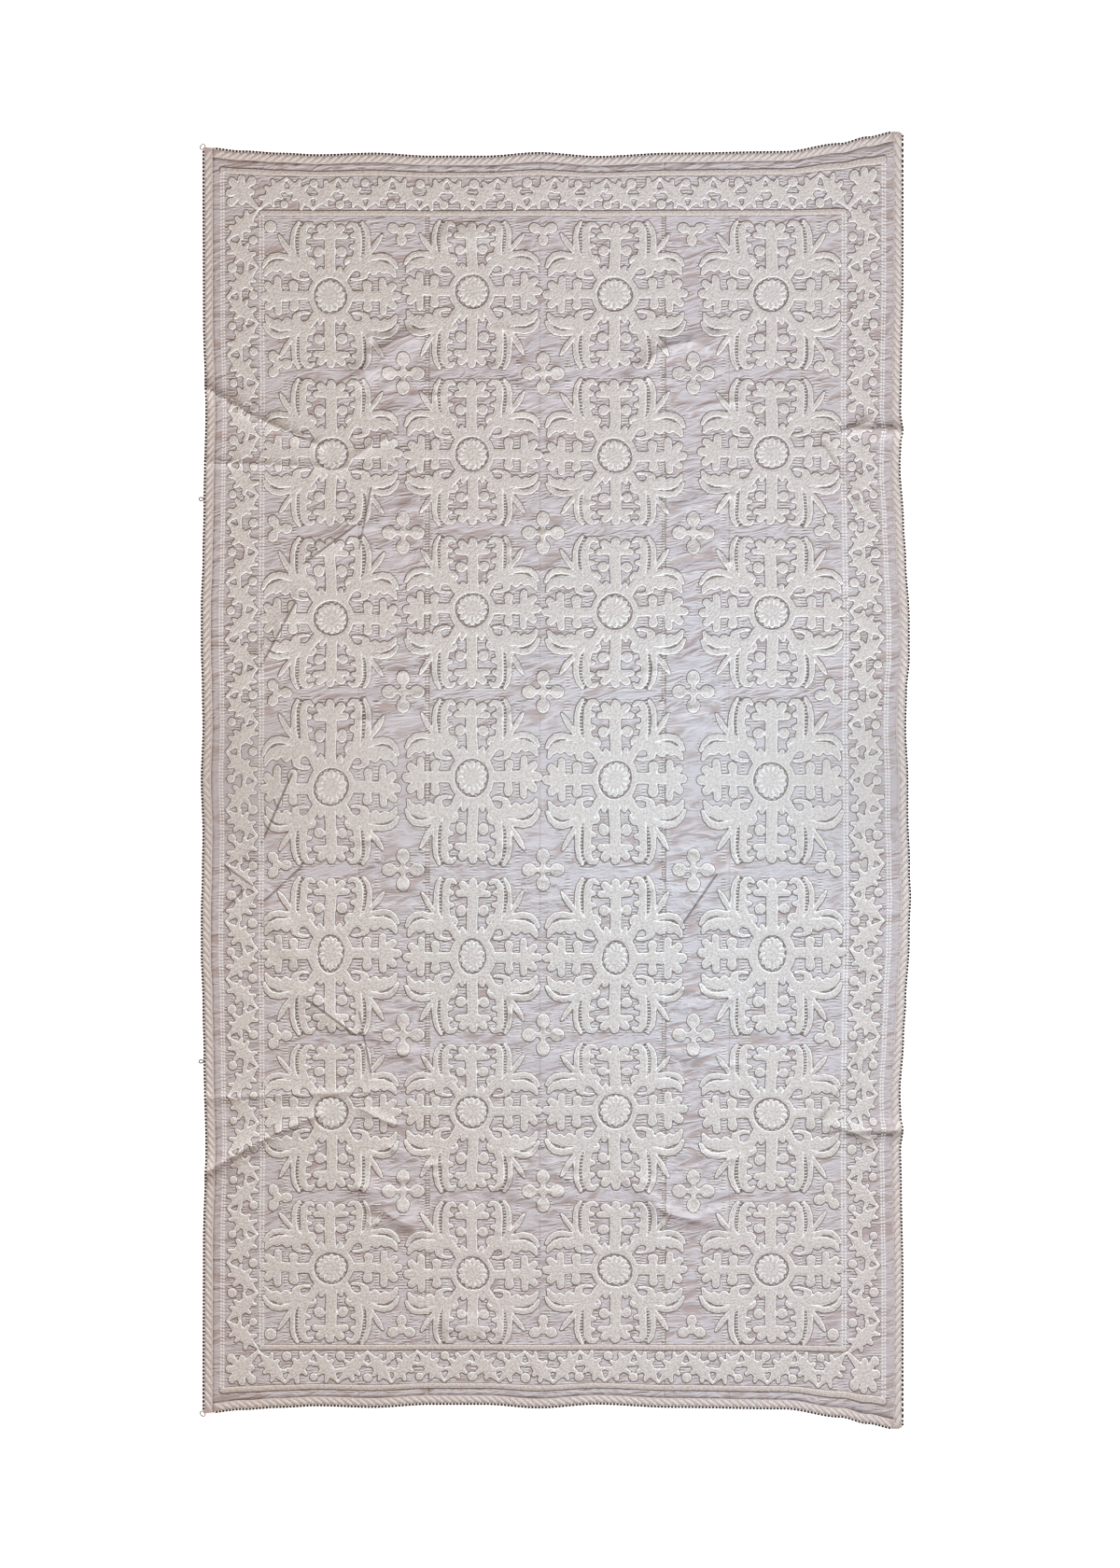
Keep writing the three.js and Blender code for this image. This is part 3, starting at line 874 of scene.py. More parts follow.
# %% One quarter of a rosette, in millimetres from the middle of its ring
ROSETTE_STROKES = {
    "stem": [(0, 34.5, 10), (0, 114, 10)],
    "tip lobe": [(0, 114, 6), (0, 131.5, 7.8)],
    "upper lobe": [(5, 114, 5.5), (20, 127.5, 7)],
    "side lobe": [(5, 112.5, 6), (28, 112.5, 5.6)],
    "bud": [(21.8, 83, 9.4)],
    "shoulder": [(27, 36, 8), (37, 51, 7.5), (46, 60, 9)],
    "horn": [(46, 58, 9), (49.5, 70, 8), (52, 84, 6.8), (53, 98, 6.2), (52.8, 114, 6.4), (51.5, 126, 6.2),
             (46.5, 134.5, 5.2), (39, 136, 4.2), (33.5, 131.5, 2.8)],
    "lower tooth": [(48, 93, 6), (40, 93, 3.8)],
    "upper tooth": [(49, 115.5, 6), (41.5, 114, 4)],
    "ear": [(45.5, 69, 5.9), (36.5, 70, 4.8), (30.5, 65.5, 3.3), (30, 60, 1.9)],
    "inner tooth": [(16, 41.5, 6.2), (19, 51, 4)],
    "outer band": [(64, 68, 4.1), (69.5, 79.5, 4.5), (71.5, 96.5, 4.5), (71.5, 114, 4.3), (68.5, 128, 4),
                   (61.5, 140, 2.6)],
    "fork": [(58, 63, 4), (70, 75, 7.5)],
    "stripe": [(62, 65, 3), (80, 73, 5), (97, 76, 5.3), (111, 73.5, 5.2), (121, 65.5, 4.5),
               (127, 54, 2.8)],
    "leaf": [(50, 60, 7.5), (62, 56, 9.2), (77.5, 56, 9.8), (98, 57, 9.2), (111, 53, 7.8),
             (119.5, 45.5, 5.6), (123, 38, 3)],
    "tongue": [(66, 50, 8), (66, 41.5, 7.2)],
    "inner scallop": [(84, 52, 8), (84, 49.5, 8.3)],
    "outer scallop": [(102, 53, 7), (102, 50.5, 7.2)],
    "finger": [(63, 36, 3.4), (51, 33, 3), (42, 33.5, 2.4)],
    "sprig": [(75, 81, 3), (86, 96, 5), (93, 106.5, 4.2), (99, 115.5, 1.6)],
    "side stem": [(34.5, 0, 9.2), (90, 0, 9)],
    "side bud": [(70.5, 6, 5), (70.5, 21.5, 8.6)],
    "upright lobe": [(99.5, 5, 6.6), (99.5, 29.5, 6.4)],
    "slanted lobe": [(104, 6, 7), (118.5, 19, 7)],
    "end lobe": [(100, 0, 8.6), (126, 0, 7.6)],
}
ROSETTE_HALF_WIDTH = 133.8
ROSETTE_HALF_HEIGHT = 142.3
COLLAR_RADIUS = 43.0
RING_RADIUS = 33.0
PETALS = 14
PETAL = [(0, 0, 12.0), (16, 0, 3.4), (24, 0, 4.8)]
LADDER = [(56.5, 61, 2.5), (61, 80, 3.6), (63, 97, 4), (63, 114, 4), (60.5, 128, 3.8), (56, 138, 2.5)]
# the depth at which the floss ramp paints its darkest shade, under the ladder bars
LADDER_DEPTH = -1.3
print("strokes in a quarter:", len(ROSETTE_STROKES))

# %% Where the rosettes are
COLUMN_X = (-414, -152, 112, 401)
COLUMN_HALF_WIDTH = (131, 129, 134, 136)
RosetteRow = namedtuple("RosetteRow", "top bottom ring_width ring_y")
ROSETTE_ROWS = [
    RosetteRow(1036, 760, 1.0, (896, 907, 900, 899)),
    RosetteRow(744, 470, 1.0, (604, 602, 599, 607)),
    RosetteRow(452, 169, 1.0, (298, 318, 313, 311)),
    RosetteRow(152, -157, 1.0, (-15, 7, 2, -1)),
    RosetteRow(-178, -471, 0.8, (-320, -328, -330, -320)),
    RosetteRow(-487, -762, 1.0, (-613, -612, -609, -617)),
    RosetteRow(-777, -1043, 1.0, (-901, -914, -905, -906)),
]
HAND_WOBBLE = 5.0
HAND_CELL = 52.0
ACROSS_SEED = 3
UP_SEED = 4


def rosette_places():
    for row in ROSETTE_ROWS:
        for x, half_width, ring_y in zip(COLUMN_X, COLUMN_HALF_WIDTH, row.ring_y):
            yield row, x, ring_y, half_width / ROSETTE_HALF_WIDTH


def stretches(row, middle_y):
    """How much the upper and the lower half of a rosette are stretched to fill their row."""
    upper = (row.top - middle_y) / ROSETTE_HALF_HEIGHT
    lower = (middle_y - row.bottom) / ROSETTE_HALF_HEIGHT
    return upper, lower


def draw_rosette(drawing, row, middle_x, middle_y, widen):
    half = ROSETTE_HALF_WIDTH * widen
    place, x, y = window(middle_x - half, middle_x + half, row.bottom, row.top)
    across = (x - middle_x) / widen + HAND_WOBBLE * (soft_noise(x, y, HAND_CELL, ACROSS_SEED) - 0.5)
    up = (y - middle_y) / np.where(y > middle_y, *stretches(row, middle_y))
    up += HAND_WOBBLE * (soft_noise(x, y, HAND_CELL, UP_SEED) - 0.5)
    depth = COLLAR_RADIUS - np.hypot(across, up)
    for stroke in ROSETTE_STROKES.values():
        depth = np.maximum(depth, stroke_depth(stroke, np.abs(across), np.abs(up)))
    ring = np.hypot(across / row.ring_width, up)
    turn = np.arctan2(up, across / row.ring_width)
    off_petal = (turn * PETALS / (2 * np.pi) % 1 - 0.5) * 2 * np.pi / PETALS
    depth = np.minimum(depth, ring - RING_RADIUS)
    depth = np.maximum(depth, stroke_depth(PETAL, ring * np.cos(off_petal), ring * np.sin(off_petal)))
    ladder = stroke_depth(LADDER, np.abs(across), np.abs(up))
    depth = np.maximum(depth, np.minimum(ladder, LADDER_DEPTH))
    add_to(drawing, place, depth)


field = blank_drawing()
for row, x, y, widen in rosette_places():
    draw_rosette(field, row, x, y, widen)
print("rosettes drawn:", len(ROSETTE_ROWS) * len(COLUMN_X))

# %% [markdown]
# Small crosses of four round petals sit where four rosettes meet. At the edge of the field there is room
# for three petals only, and in the corners for a single dot.

# %% Crosses, trefoils and dots
PETAL_REACH = 25.0
PETAL_RADIUS = 11.8
SMALL_REACH = 15.5
SMALL_RADIUS = 9.3
NECK_RADIUS = 3.9
HEART_RADIUS = 8.2
LEFT_TREFOILS_X = -513
RIGHT_TREFOILS_X = 507
TREFOIL_ROWS = (770, 466, 162, -157, -473, -772)
END_TREFOILS_X = (-283, -21, 254)
END_TREFOILS_Y = 1016
CORNER_DOTS = [(-526, 1024), (516, 1022), (-526, -1025), (516, -1024)]
DOT_RADIUS = 10.5
PETAL_NECK = 0.5
PETAL_TIP = 3
TIP_TAPER = 1


def draw_petals(drawing, x, y, turns, reach, radius):
    draw_stroke(drawing, [(x, y, HEART_RADIUS)])
    for turn in turns:
        step_x = math.cos(math.radians(turn))
        step_y = math.sin(math.radians(turn))
        stroke = [(x, y, NECK_RADIUS)]
        for out, disc in ((PETAL_NECK * reach, NECK_RADIUS), (reach, radius),
                          (reach + PETAL_TIP, radius - TIP_TAPER)):
            stroke.append((x + out * step_x, y + out * step_y, disc))
        draw_stroke(drawing, stroke)


for y in GAP_ROWS:
    for x in GAP_COLUMNS:
        draw_petals(field, x, y, (0, 90, 180, 270), PETAL_REACH, PETAL_RADIUS)
for y in TREFOIL_ROWS:
    draw_petals(field, LEFT_TREFOILS_X, y, (0, 120, 240), SMALL_REACH, SMALL_RADIUS)
    draw_petals(field, RIGHT_TREFOILS_X, y, (85, 195, 315), SMALL_REACH, SMALL_RADIUS)
for x in END_TREFOILS_X:
    draw_petals(field, x, END_TREFOILS_Y, (20, 160, 270), SMALL_REACH, SMALL_RADIUS)
    draw_petals(field, x, -END_TREFOILS_Y, (-20, -160, 90), SMALL_REACH, SMALL_RADIUS)
for x, y in CORNER_DOTS:
    draw_stroke(field, [(x, y, DOT_RADIUS)])
print("crosses drawn:", len(GAP_ROWS) * len(GAP_COLUMNS))

# %% [markdown]
# The border runs between two guard lines. A vine zigzags from one guard to the other, each arm carries a
# lobed leaf, and berries fill the triangles. All four sides are alike, so a side is drawn by how far
# along it and how far in from the edge a point lies.

# %% The zigzag vine
OUTER_APEX = 45.0
INNER_APEX = 103.0
CORNER_INSET = 106.0
END_ARMS = 22
SIDE_ARMS = 40
ARM_BODY = [(0.0, 2.0), (0.12, 3.2), (0.3, 8.0), (0.45, 11.5), (0.6, 11.0), (0.76, 7.0), (0.9, 3.2),
            (1.0, 2.0)]
ARM_LOBES = [(0.24, 15.0, 3.4), (0.5, 18.0, 3.6), (0.75, 15.0, 3.4),
             (0.25, -15.0, 3.4), (0.52, -18.0, 3.6), (0.76, -15.0, 3.2)]
LOBE_NECK = 6.0
LOBE_ROOTS = (0.25, 0.5)
LOBE_SHIFT = 0.05
LOBE_REACHES = (0.85, 1.12)
LOBE_SIZES = (0.8, 1.1)
VINE_SHIFT = 4
BERRY_RADIUS = 8.0
BERRY_SIZES = (0.85, 1.1)
OUTER_BERRY = 54.5
INNER_BERRY = 94.5
VINE_DASH_INSETS = (71.0, 76.0, 81.0, 86.0)
VINE_DASH_LENGTHS = (17.0, 13.0, 9.0, 6.0)
VINE_SEED = 23

Side = namedtuple("Side", "name arms start finish place")
SIDES = [
    Side("top", END_ARMS, LEFT_SIDE + CORNER_INSET, RIGHT_SIDE - CORNER_INSET,
         lambda along, inwards: (along, HALF_LENGTH - inwards)),
    Side("bottom", END_ARMS, LEFT_SIDE + CORNER_INSET, RIGHT_SIDE - CORNER_INSET,
         lambda along, inwards: (along, inwards - HALF_LENGTH)),
    Side("left", SIDE_ARMS, CORNER_INSET - HALF_LENGTH, HALF_LENGTH - CORNER_INSET,
         lambda along, inwards: (LEFT_SIDE + inwards, along)),
    Side("right", SIDE_ARMS, CORNER_INSET - HALF_LENGTH, HALF_LENGTH - CORNER_INSET,
         lambda along, inwards: (RIGHT_SIDE - inwards, along)),
]


def draw_arm(drawing, start, finish, chance):
    """One leaf of the vine: a body that tapers to both ends, with three lobes on either side."""
    start = np.array(start)
    run = np.array(finish) - start
    aside = np.array((-run[1], run[0])) / math.hypot(*run)
    draw_stroke(drawing, [(*(start + run * share), radius) for share, radius in ARM_BODY])
    first_root, root_span = LOBE_ROOTS
    for share, out, radius in ARM_LOBES:
        root = start + run * (first_root + root_span * share)
        lobe = start + run * (share + either_way(chance, LOBE_SHIFT))
        lobe = lobe + aside * out * chance.uniform(*LOBE_REACHES)
        draw_stroke(drawing, [(*root, LOBE_NECK), (*lobe, radius * chance.uniform(*LOBE_SIZES))])


def draw_vine(drawing, side, chance):
    """Draws the vine of one side and gives the dashes that go beside its berries."""
    apexes = []
    dashes = []
    for number in range(side.arms + 1):
        along = side.start + (side.finish - side.start) * number / side.arms
        inwards = INNER_APEX if number % 2 == 0 else OUTER_APEX
        apexes.append(side.place(along + either_way(chance, VINE_SHIFT), inwards))
        if 0 < number < side.arms:
            berry_along = along + either_way(chance, VINE_SHIFT)
            berry = side.place(berry_along, OUTER_BERRY if number % 2 == 0 else INNER_BERRY)
            draw_stroke(drawing, [(*berry, BERRY_RADIUS * chance.uniform(*BERRY_SIZES))])
            if side.name in ("top", "bottom"):
                for step, wide in zip(VINE_DASH_INSETS, VINE_DASH_LENGTHS):
                    inset = step if number % 2 == 0 else INNER_APEX + OUTER_APEX - step
                    dashes.append((*side.place(berry_along, inset), wide))
    for start, finish in zip(apexes, apexes[1:]):
        draw_arm(drawing, start, finish, chance)
    return dashes


vine = blank_drawing()
vine_chance = np.random.default_rng(VINE_SEED)
vine_dashes = []
for side in SIDES:
    vine_dashes += draw_vine(vine, side, vine_chance)
print("vine arms drawn:", sum(side.arms for side in SIDES))

# %% Corner stars
CORNER_STAR = 70.0
STAR_HEART = 10.0
STAR_LOBES = [(35, 21, 6.0), (80, 20, 5.5), (125, 21, 6.5), (180, 22, 7.0), (235, 21, 6.5), (280, 20, 5.5),
              (325, 21, 6.0)]
STAR_TURN = 6
STAR_STEM_END = 104.0
STAR_STEM_RADIUS = 2.5
CORNER_BERRIES = [(53, 92), (92, 53)]


def draw_corner(drawing, side_x, sign_x, sign_y, chance):
    def corner(from_side, from_end):
        return side_x + sign_x * from_side, sign_y * (HALF_LENGTH - from_end)

    star_x, star_y = corner(CORNER_STAR, CORNER_STAR)
    apex_x, apex_y = corner(STAR_STEM_END, STAR_STEM_END)
    inwards = math.atan2(apex_y - star_y, apex_x - star_x)
    draw_stroke(drawing, [(star_x, star_y, STAR_HEART), (apex_x, apex_y, STAR_STEM_RADIUS)])
    for turn, reach, radius in STAR_LOBES:
        angle = inwards + math.radians(turn + either_way(chance, STAR_TURN))
        lobe = (star_x + reach * math.cos(angle), star_y + reach * math.sin(angle), radius)
        draw_stroke(drawing, [(star_x, star_y, LOBE_NECK), lobe])
    for berry in CORNER_BERRIES:
        draw_stroke(drawing, [(*corner(*berry), BERRY_RADIUS)])


for side_x, sign_x in ((LEFT_SIDE, 1), (RIGHT_SIDE, -1)):
    for sign_y in (1, -1):
        draw_corner(vine, side_x, sign_x, sign_y, vine_chance)
print("corner stars drawn: 4")

# %% [markdown]
# The guard lines at the two ends are padded ribbons of sandier floss. They are strokes in a drawing of
# their own. Along the sides the guards are open rows of chain stitch, and the seams are open ladder
# stitch. Those stitches come later, and here the seams get a sunken bed, painted as shade on the silk.

# %% Guard ribbons at the ends
OUTER_GUARD = (33.6, 38.6)
INNER_GUARD = (107.5, 113.5)
RIBBON_RADIUS = 4.4
# the depth at which the floss ramp paints shade between the silk and the shadow line
OPEN_BED_DEPTH = -1.75
SEAM_BED = 3.0


def draw_bed(drawing, start, finish, radius):
    """A sunken bed for open stitches, painted as shade: it never rises to the height of a motif."""
    low_x, high_x = sorted((start[0], finish[0]))
    low_y, high_y = sorted((start[1], finish[1]))
    place, x, y = window(low_x, high_x, low_y, high_y)
    depth = np.minimum(stroke_depth([(*start, radius), (*finish, radius)], x, y), OPEN_BED_DEPTH)
    add_to(drawing, place, depth)


ribbons = blank_drawing()
for guard in (OUTER_GUARD, INNER_GUARD):
    inset = sum(guard) / 2
    for side in SIDES[:2]:
        start = side.place(LEFT_SIDE + inset, inset)
        finish = side.place(RIGHT_SIDE - inset, inset)
        draw_stroke(ribbons, [(*start, RIBBON_RADIUS), (*finish, RIBBON_RADIUS)])
seam_end = HALF_LENGTH - INNER_GUARD[1]
for seam in (LEFT_SEAM, RIGHT_SEAM):
    draw_bed(field, (seam, -seam_end), (seam, seam_end), SEAM_BED)
print("guard ribbons drawn: 4, seam beds drawn: 2")

# %% [markdown]
# ## From drawing to raised stitches
# The drawing is turned into a mesh cell by cell. A cell keeps the corners that lie inside a motif, and
# where the outline crosses a cell's edge a point is put on the crossing, so outlines are smooth
# although the grid is square. The same helper, which makes faces from rings of corners with some left
# out, later closes the underside of the silk.

# %% Meshes from arrays
Part = namedtuple("Part", "x y lift corners starts finish inset")
TRIANGLES = {}


def faces_from_rings(rings):
    """Faces from rows of corner numbers, where -1 stands for a corner that is left out."""
    used = rings >= 0
    sizes = used.sum(axis=1)
    kept = sizes > 2
    corners = rings[kept][used[kept]]
    starts = np.concatenate(([0], np.cumsum(sizes[kept])[:-1]))
    return corners, starts


def lay_piece(name, parts, finishes):
    """One object from parts of the flat cut, laid on the folds."""
    x = np.concatenate([part.x for part in parts])
    y = np.concatenate([part.y for part in parts])
    lift = np.concatenate([part.lift for part in parts])
    inset = np.concatenate([part.inset for part in parts])
    laid_x, laid_y = lie(x, y)
    points = np.stack([laid_x, laid_y, underside(x, y) + lift], axis=1) * MM
    corners = []
    starts = []
    finish_numbers = []
    first_point = 0
    first_corner = 0
    for part in parts:
        corners.append(part.corners + first_point)
        starts.append(part.starts + first_corner)
        finish_numbers.append(np.full(part.starts.size, part.finish))
        first_point += part.x.size
        first_corner += part.corners.size
    corners = np.concatenate(corners).astype(np.int32)
    starts = np.concatenate(starts).astype(np.int32)
    mesh = bpy.data.meshes.new(name)
    mesh.vertices.add(len(points))
    mesh.vertices.foreach_set("co", points.astype(np.float32).ravel())
    mesh.loops.add(corners.size)
    mesh.loops.foreach_set("vertex_index", corners)
    mesh.polygons.add(starts.size)
    mesh.polygons.foreach_set("loop_start", starts)
    for finish in finishes:
        mesh.materials.append(finish)
    mesh.polygons.foreach_set("material_index", np.concatenate(finish_numbers).astype(np.int32))
    mesh.update(calc_edges=True)
    mesh.shade_smooth()
    measure = mesh.attributes.new("near" if finishes[0] is SILK else "inset", "FLOAT", "POINT")
    measure.data.foreach_set("value", inset.astype(np.float32))
    piece = bpy.data.objects.new(name, mesh)
    bpy.context.collection.objects.link(piece)
    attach(piece, "root")
    mesh.calc_loop_triangles()
    TRIANGLES[name] = len(mesh.loop_triangles)
    return piece


print("mesh helpers ready")

# %% Relief from a drawing
OUTLINE_DEPTH = -1.9
RELIEF_PROFILE = [(-1.9, 0.08), (-0.8, 0.25), (0.4, 0.8), (1.6, 1.05), (2.8, 1.1)]
EVEN_DEPTH = 2.6


def relief_rise(depth):
    depths, rises = zip(*RELIEF_PROFILE)
    return np.interp(depth, depths, rises)


def merge_even_cells(points, depth):
    """Rings for blocks of four cells deep inside a motif, and a mask of the cells they stand for."""
    rows = (points.shape[0] - 1) // 2
    columns = (points.shape[1] - 1) // 2
    even = np.ones((rows, columns), bool)
    for down in range(3):
        for right in range(3):
            even &= depth[down:down + 2 * rows - 1:2, right:right + 2 * columns - 1:2] > EVEN_DEPTH
    walled = np.pad(even, 1)

    def spot(down, right):
        return points[down:down + 2 * rows - 1:2, right:right + 2 * columns - 1:2]

    def middle(down, right, neighbour):
        return np.where(neighbour, -1, spot(down, right))

    rings = np.stack([
        spot(0, 0), middle(0, 1, walled[:-2, 1:-1]), spot(0, 2), middle(1, 2, walled[1:-1, 2:]),
        spot(2, 2), middle(2, 1, walled[2:, 1:-1]), spot(2, 0), middle(1, 0, walled[1:-1, :-2]),
    ], axis=-1)[even]
    covered = np.zeros((points.shape[0] - 1, points.shape[1] - 1), bool)
    covered[:2 * rows, :2 * columns] = even.repeat(2, axis=0).repeat(2, axis=1)
    return rings, covered


def relief(drawing, rows):
    """A part for the motifs in some rows of the drawing."""
    depth = drawing[rows] - OUTLINE_DEPTH
    ys = grid_y[rows]
    inside = depth > 0
    points = np.full(depth.shape, -1)
    points[inside] = np.arange(inside.sum())
    x, y = np.meshgrid(grid_x, ys)
    found_x = [x[inside]]
    found_y = [y[inside]]
    found_depth = [depth[inside]]
    count = inside.sum()

    crossings = []
    for axis in (1, 0):
        first = (slice(None), slice(None, -1)) if axis == 1 else (slice(None, -1), slice(None))
        second = (slice(None), slice(1, None)) if axis == 1 else (slice(1, None), slice(None))
        crossed = inside[first] != inside[second]
        numbers = np.full(crossed.shape, -1)
        numbers[crossed] = count + np.arange(crossed.sum())
        count += crossed.sum()
        share = depth[first][crossed] / (depth[first][crossed] - depth[second][crossed])
        found_x.append(x[first][crossed] + share * (x[second][crossed] - x[first][crossed]))
        found_y.append(y[first][crossed] + share * (y[second][crossed] - y[first][crossed]))
        found_depth.append(np.zeros(crossed.sum()))
        crossings.append(numbers)
    level, upright = crossings

    rings = np.stack([
        points[:-1, :-1], level[:-1], points[:-1, 1:], upright[:, 1:],
        points[1:, 1:], level[1:], points[1:, :-1], upright[:, :-1],
    ], axis=-1)
    merged, covered = merge_even_cells(points, depth + OUTLINE_DEPTH)
    single = rings[~covered]
    corners, starts = faces_from_rings(np.concatenate([single[(single >= 0).any(axis=1)], merged]))
    used, corners = np.unique(corners, return_inverse=True)
    inset = np.concatenate(found_depth)[used] + OUTLINE_DEPTH
    lift = CLOTH_THICKNESS + relief_rise(inset)
    used_x = np.concatenate(found_x)[used]
    used_y = np.concatenate(found_y)[used]
    return Part(used_x, used_y, lift, corners, starts, 0, inset)


def grid_rows(low, high):
    first, last = np.searchsorted(grid_y, (low, high))
    return slice(first, min(last + 1, grid_y.size))


ROW_BREAKS = [CLOTH_END] + list(GAP_ROWS) + [-CLOTH_END]
for number, (high, low) in enumerate(zip(ROW_BREAKS, ROW_BREAKS[1:]), start=1):
    motifs = relief(field, grid_rows(low, high))
    lay_piece(f"rosette_row_{number}", [motifs], [FLOSS])
END_BORDER = 1000
VINE_BREAKS = [CLOTH_END, END_BORDER, 0, -END_BORDER, -CLOTH_END]
VINE_NAMES = ("vine_top", "vine_upper_sides", "vine_lower_sides", "vine_bottom")
for name, high, low in zip(VINE_NAMES, VINE_BREAKS, VINE_BREAKS[1:]):
    rows = grid_rows(low, high)
    parts = [relief(vine, rows)]
    if name in ("vine_top", "vine_bottom"):
        parts.append(relief(ribbons, rows)._replace(finish=1))
    lay_piece(name, parts, [FLOSS, RIBBON_FLOSS])
print("triangles in the embroidery:", sum(TRIANGLES.values()))

# %% [markdown]
# ## Single stitches
# Ladder bars in the rosettes, short pulled stitches, chain stitch on the guards and the ladder stitch on
# the seams are all small pads of thread: pointed at their ends, raised in the middle. Lower pads of a
# dark colour lie between the short stitches as painted shade. One function makes any number of them as
# one array of points, and each kind becomes one joined piece.

# %% Pads of thread
PAD_SHORT = [(-0.5, 0.1), (0.0, 1.0), (0.5, 0.1)]
PAD_ROUND = [(-0.5, 0.0), (-0.3, 0.8), (0.0, 1.0), (0.3, 0.8), (0.5, 0.0)]
PAD_ACROSS = [(-0.5, 0.0), (0.0, 1.0), (0.5, 0.0)]
PAD_SINK = 0.35
PAD_END_WIDTH = 0.55


def pads(x, y, angle, length, width, height, base=CLOTH_THICKNESS, shape=PAD_SHORT, finish=0):
    """A part of many pads, each at its place in the flat cut, turned by its angle."""
    measures = [np.asarray(value, float) for value in (x, y, angle, length, width, base)]
    x, y, angle, length, width, base = np.broadcast_arrays(*measures)
    points_x = []
    points_y = []
    lift = []
    for along, along_rise in shape:
        narrow = PAD_END_WIDTH + (1 - PAD_END_WIDTH) * along_rise
        for across, across_rise in PAD_ACROSS:
            run = along * length
            side = across * width * narrow
            points_x.append(x + run * np.cos(angle) - side * np.sin(angle))
            points_y.append(y + run * np.sin(angle) + side * np.cos(angle))
            lift.append(base - PAD_SINK + (height + PAD_SINK) * along_rise * across_rise)
    per_pad = len(shape) * len(PAD_ACROSS)
    quads = []
    for station in range(len(shape) - 1):
        for step in range(len(PAD_ACROSS) - 1):
            low = station * len(PAD_ACROSS) + step
            high = low + len(PAD_ACROSS)
            quads.append((low, high, high + 1, low + 1))
    corners = np.arange(x.size)[:, None, None] * per_pad + np.array(quads)[None]
    starts = np.arange(x.size * len(quads)) * 4
    flat = [np.stack(values, axis=1).ravel() for values in (points_x, points_y, lift)]
    return Part(*flat, corners.ravel(), starts, finish, np.full(flat[0].size, 1.0))


print("faces in a short pad:", (len(PAD_SHORT) - 1) * (len(PAD_ACROSS) - 1))

# %% Ladder bars and pulled stitches
BAR_HEIGHTS = np.arange(66.0, 137.0, 5.8)
BAR_LENGTH = 9.5
BAR_WIDTH = 3.6
BAR_RISE = 1.3
Dashes = namedtuple("Dashes", "x low count length")
DASH_PITCH = 5.4
DASH_WIDTH = 2.6
DASH_RISE = 0.9
PAINTED_SHADE_RISE = 0.5
ROSETTE_DASHES = [Dashes(86, 10, 5, 15), Dashes(52.5, 14, 3, 14), Dashes(87, 118, 4, 17)]


def rosette_stitches():
    bar_out, bar_up, _ = zip(*LADDER)
    parts = []
    for row, middle_x, middle_y, widen in rosette_places():
        upper, lower = stretches(row, middle_y)
        for side_x in (-widen, widen):
            for stretch in (upper, -lower):
                x = middle_x + side_x * np.interp(BAR_HEIGHTS, bar_up, bar_out)
                y = middle_y + stretch * BAR_HEIGHTS
                parts.append(pads(x, y, 0, BAR_LENGTH, BAR_WIDTH, BAR_RISE))
                for dashes in ROSETTE_DASHES:
                    up = dashes.low + DASH_PITCH * np.arange(dashes.count)
                    x = middle_x + side_x * dashes.x
                    y = middle_y + stretch * up
                    parts.append(pads(x, y, 0, dashes.length, DASH_WIDTH, DASH_RISE))
                    # lower dark pads between the dashes, as painted shade
                    y = middle_y + stretch * (up + DASH_PITCH / 2)
                    parts.append(pads(x, y, 0, dashes.length, DASH_WIDTH, PAINTED_SHADE_RISE, finish=1))
    return parts


lay_piece("ladder_bars", rosette_stitches(), [THREAD, PAINTED_SHADE_THREAD])
print("triangles in the ladder bars:", TRIANGLES["ladder_bars"])

# %% Chain stitch on the guards
CHAIN_PITCH = 6.0
CHAIN_LENGTH = 4.9
CHAIN_WIDTH = 5.6
CHAIN_RISE = 1.3
VINE_PAINTED_SHADE_SHIFT = 2.5


def even_places(low, high, pitch):
    """Places about one pitch apart that fill a length evenly."""
    count = int((high - low) / pitch)
    return low + (np.arange(count) + 0.5) * (high - low) / count


guards = []
for inset in OUTER_GUARD + INNER_GUARD:
    end = HALF_LENGTH - inset
    chain_y = even_places(-end, end, CHAIN_PITCH)
    for chain_x in (LEFT_SIDE + inset, RIGHT_SIDE - inset):
        guards.append(pads(chain_x, chain_y, math.pi / 2, CHAIN_LENGTH, CHAIN_WIDTH, CHAIN_RISE))
dash_x, dash_y, dash_length = np.array(vine_dashes).T
guards.append(pads(dash_x, dash_y, 0, dash_length, DASH_WIDTH, DASH_RISE))
# lower dark pads beside the vine dashes, as painted shade
painted_shade_y = dash_y + VINE_PAINTED_SHADE_SHIFT
guards.append(pads(dash_x, painted_shade_y, 0, dash_length, DASH_WIDTH, PAINTED_SHADE_RISE, finish=1))
lay_piece("guard_chains", guards, [THREAD, PAINTED_SHADE_THREAD])
print("triangles in the guards:", TRIANGLES["guard_chains"])

# %% Ladder stitch on the seams
SEAM_PITCH = 4.6
SEAM_SEED = 31
SEAM_SHIFT = 0.6
SEAM_LENGTHS = (7.0, 10.0)
SEAM_TURN = 0.12
SEAM_WIDTH = 2.4
SEAM_RISE = 0.9
all_motifs = np.maximum(np.maximum(field, vine), ribbons)


def drawn_depth(x, y):
    """How deep points lie inside the nearest motif of any drawing."""
    column = np.clip(np.round((x - grid_x[0]) / GRID_STEP).astype(int), 0, grid_x.size - 1)
    row = np.clip(np.round((y - grid_y[0]) / GRID_STEP).astype(int), 0, grid_y.size - 1)
    return all_motifs[row, column]


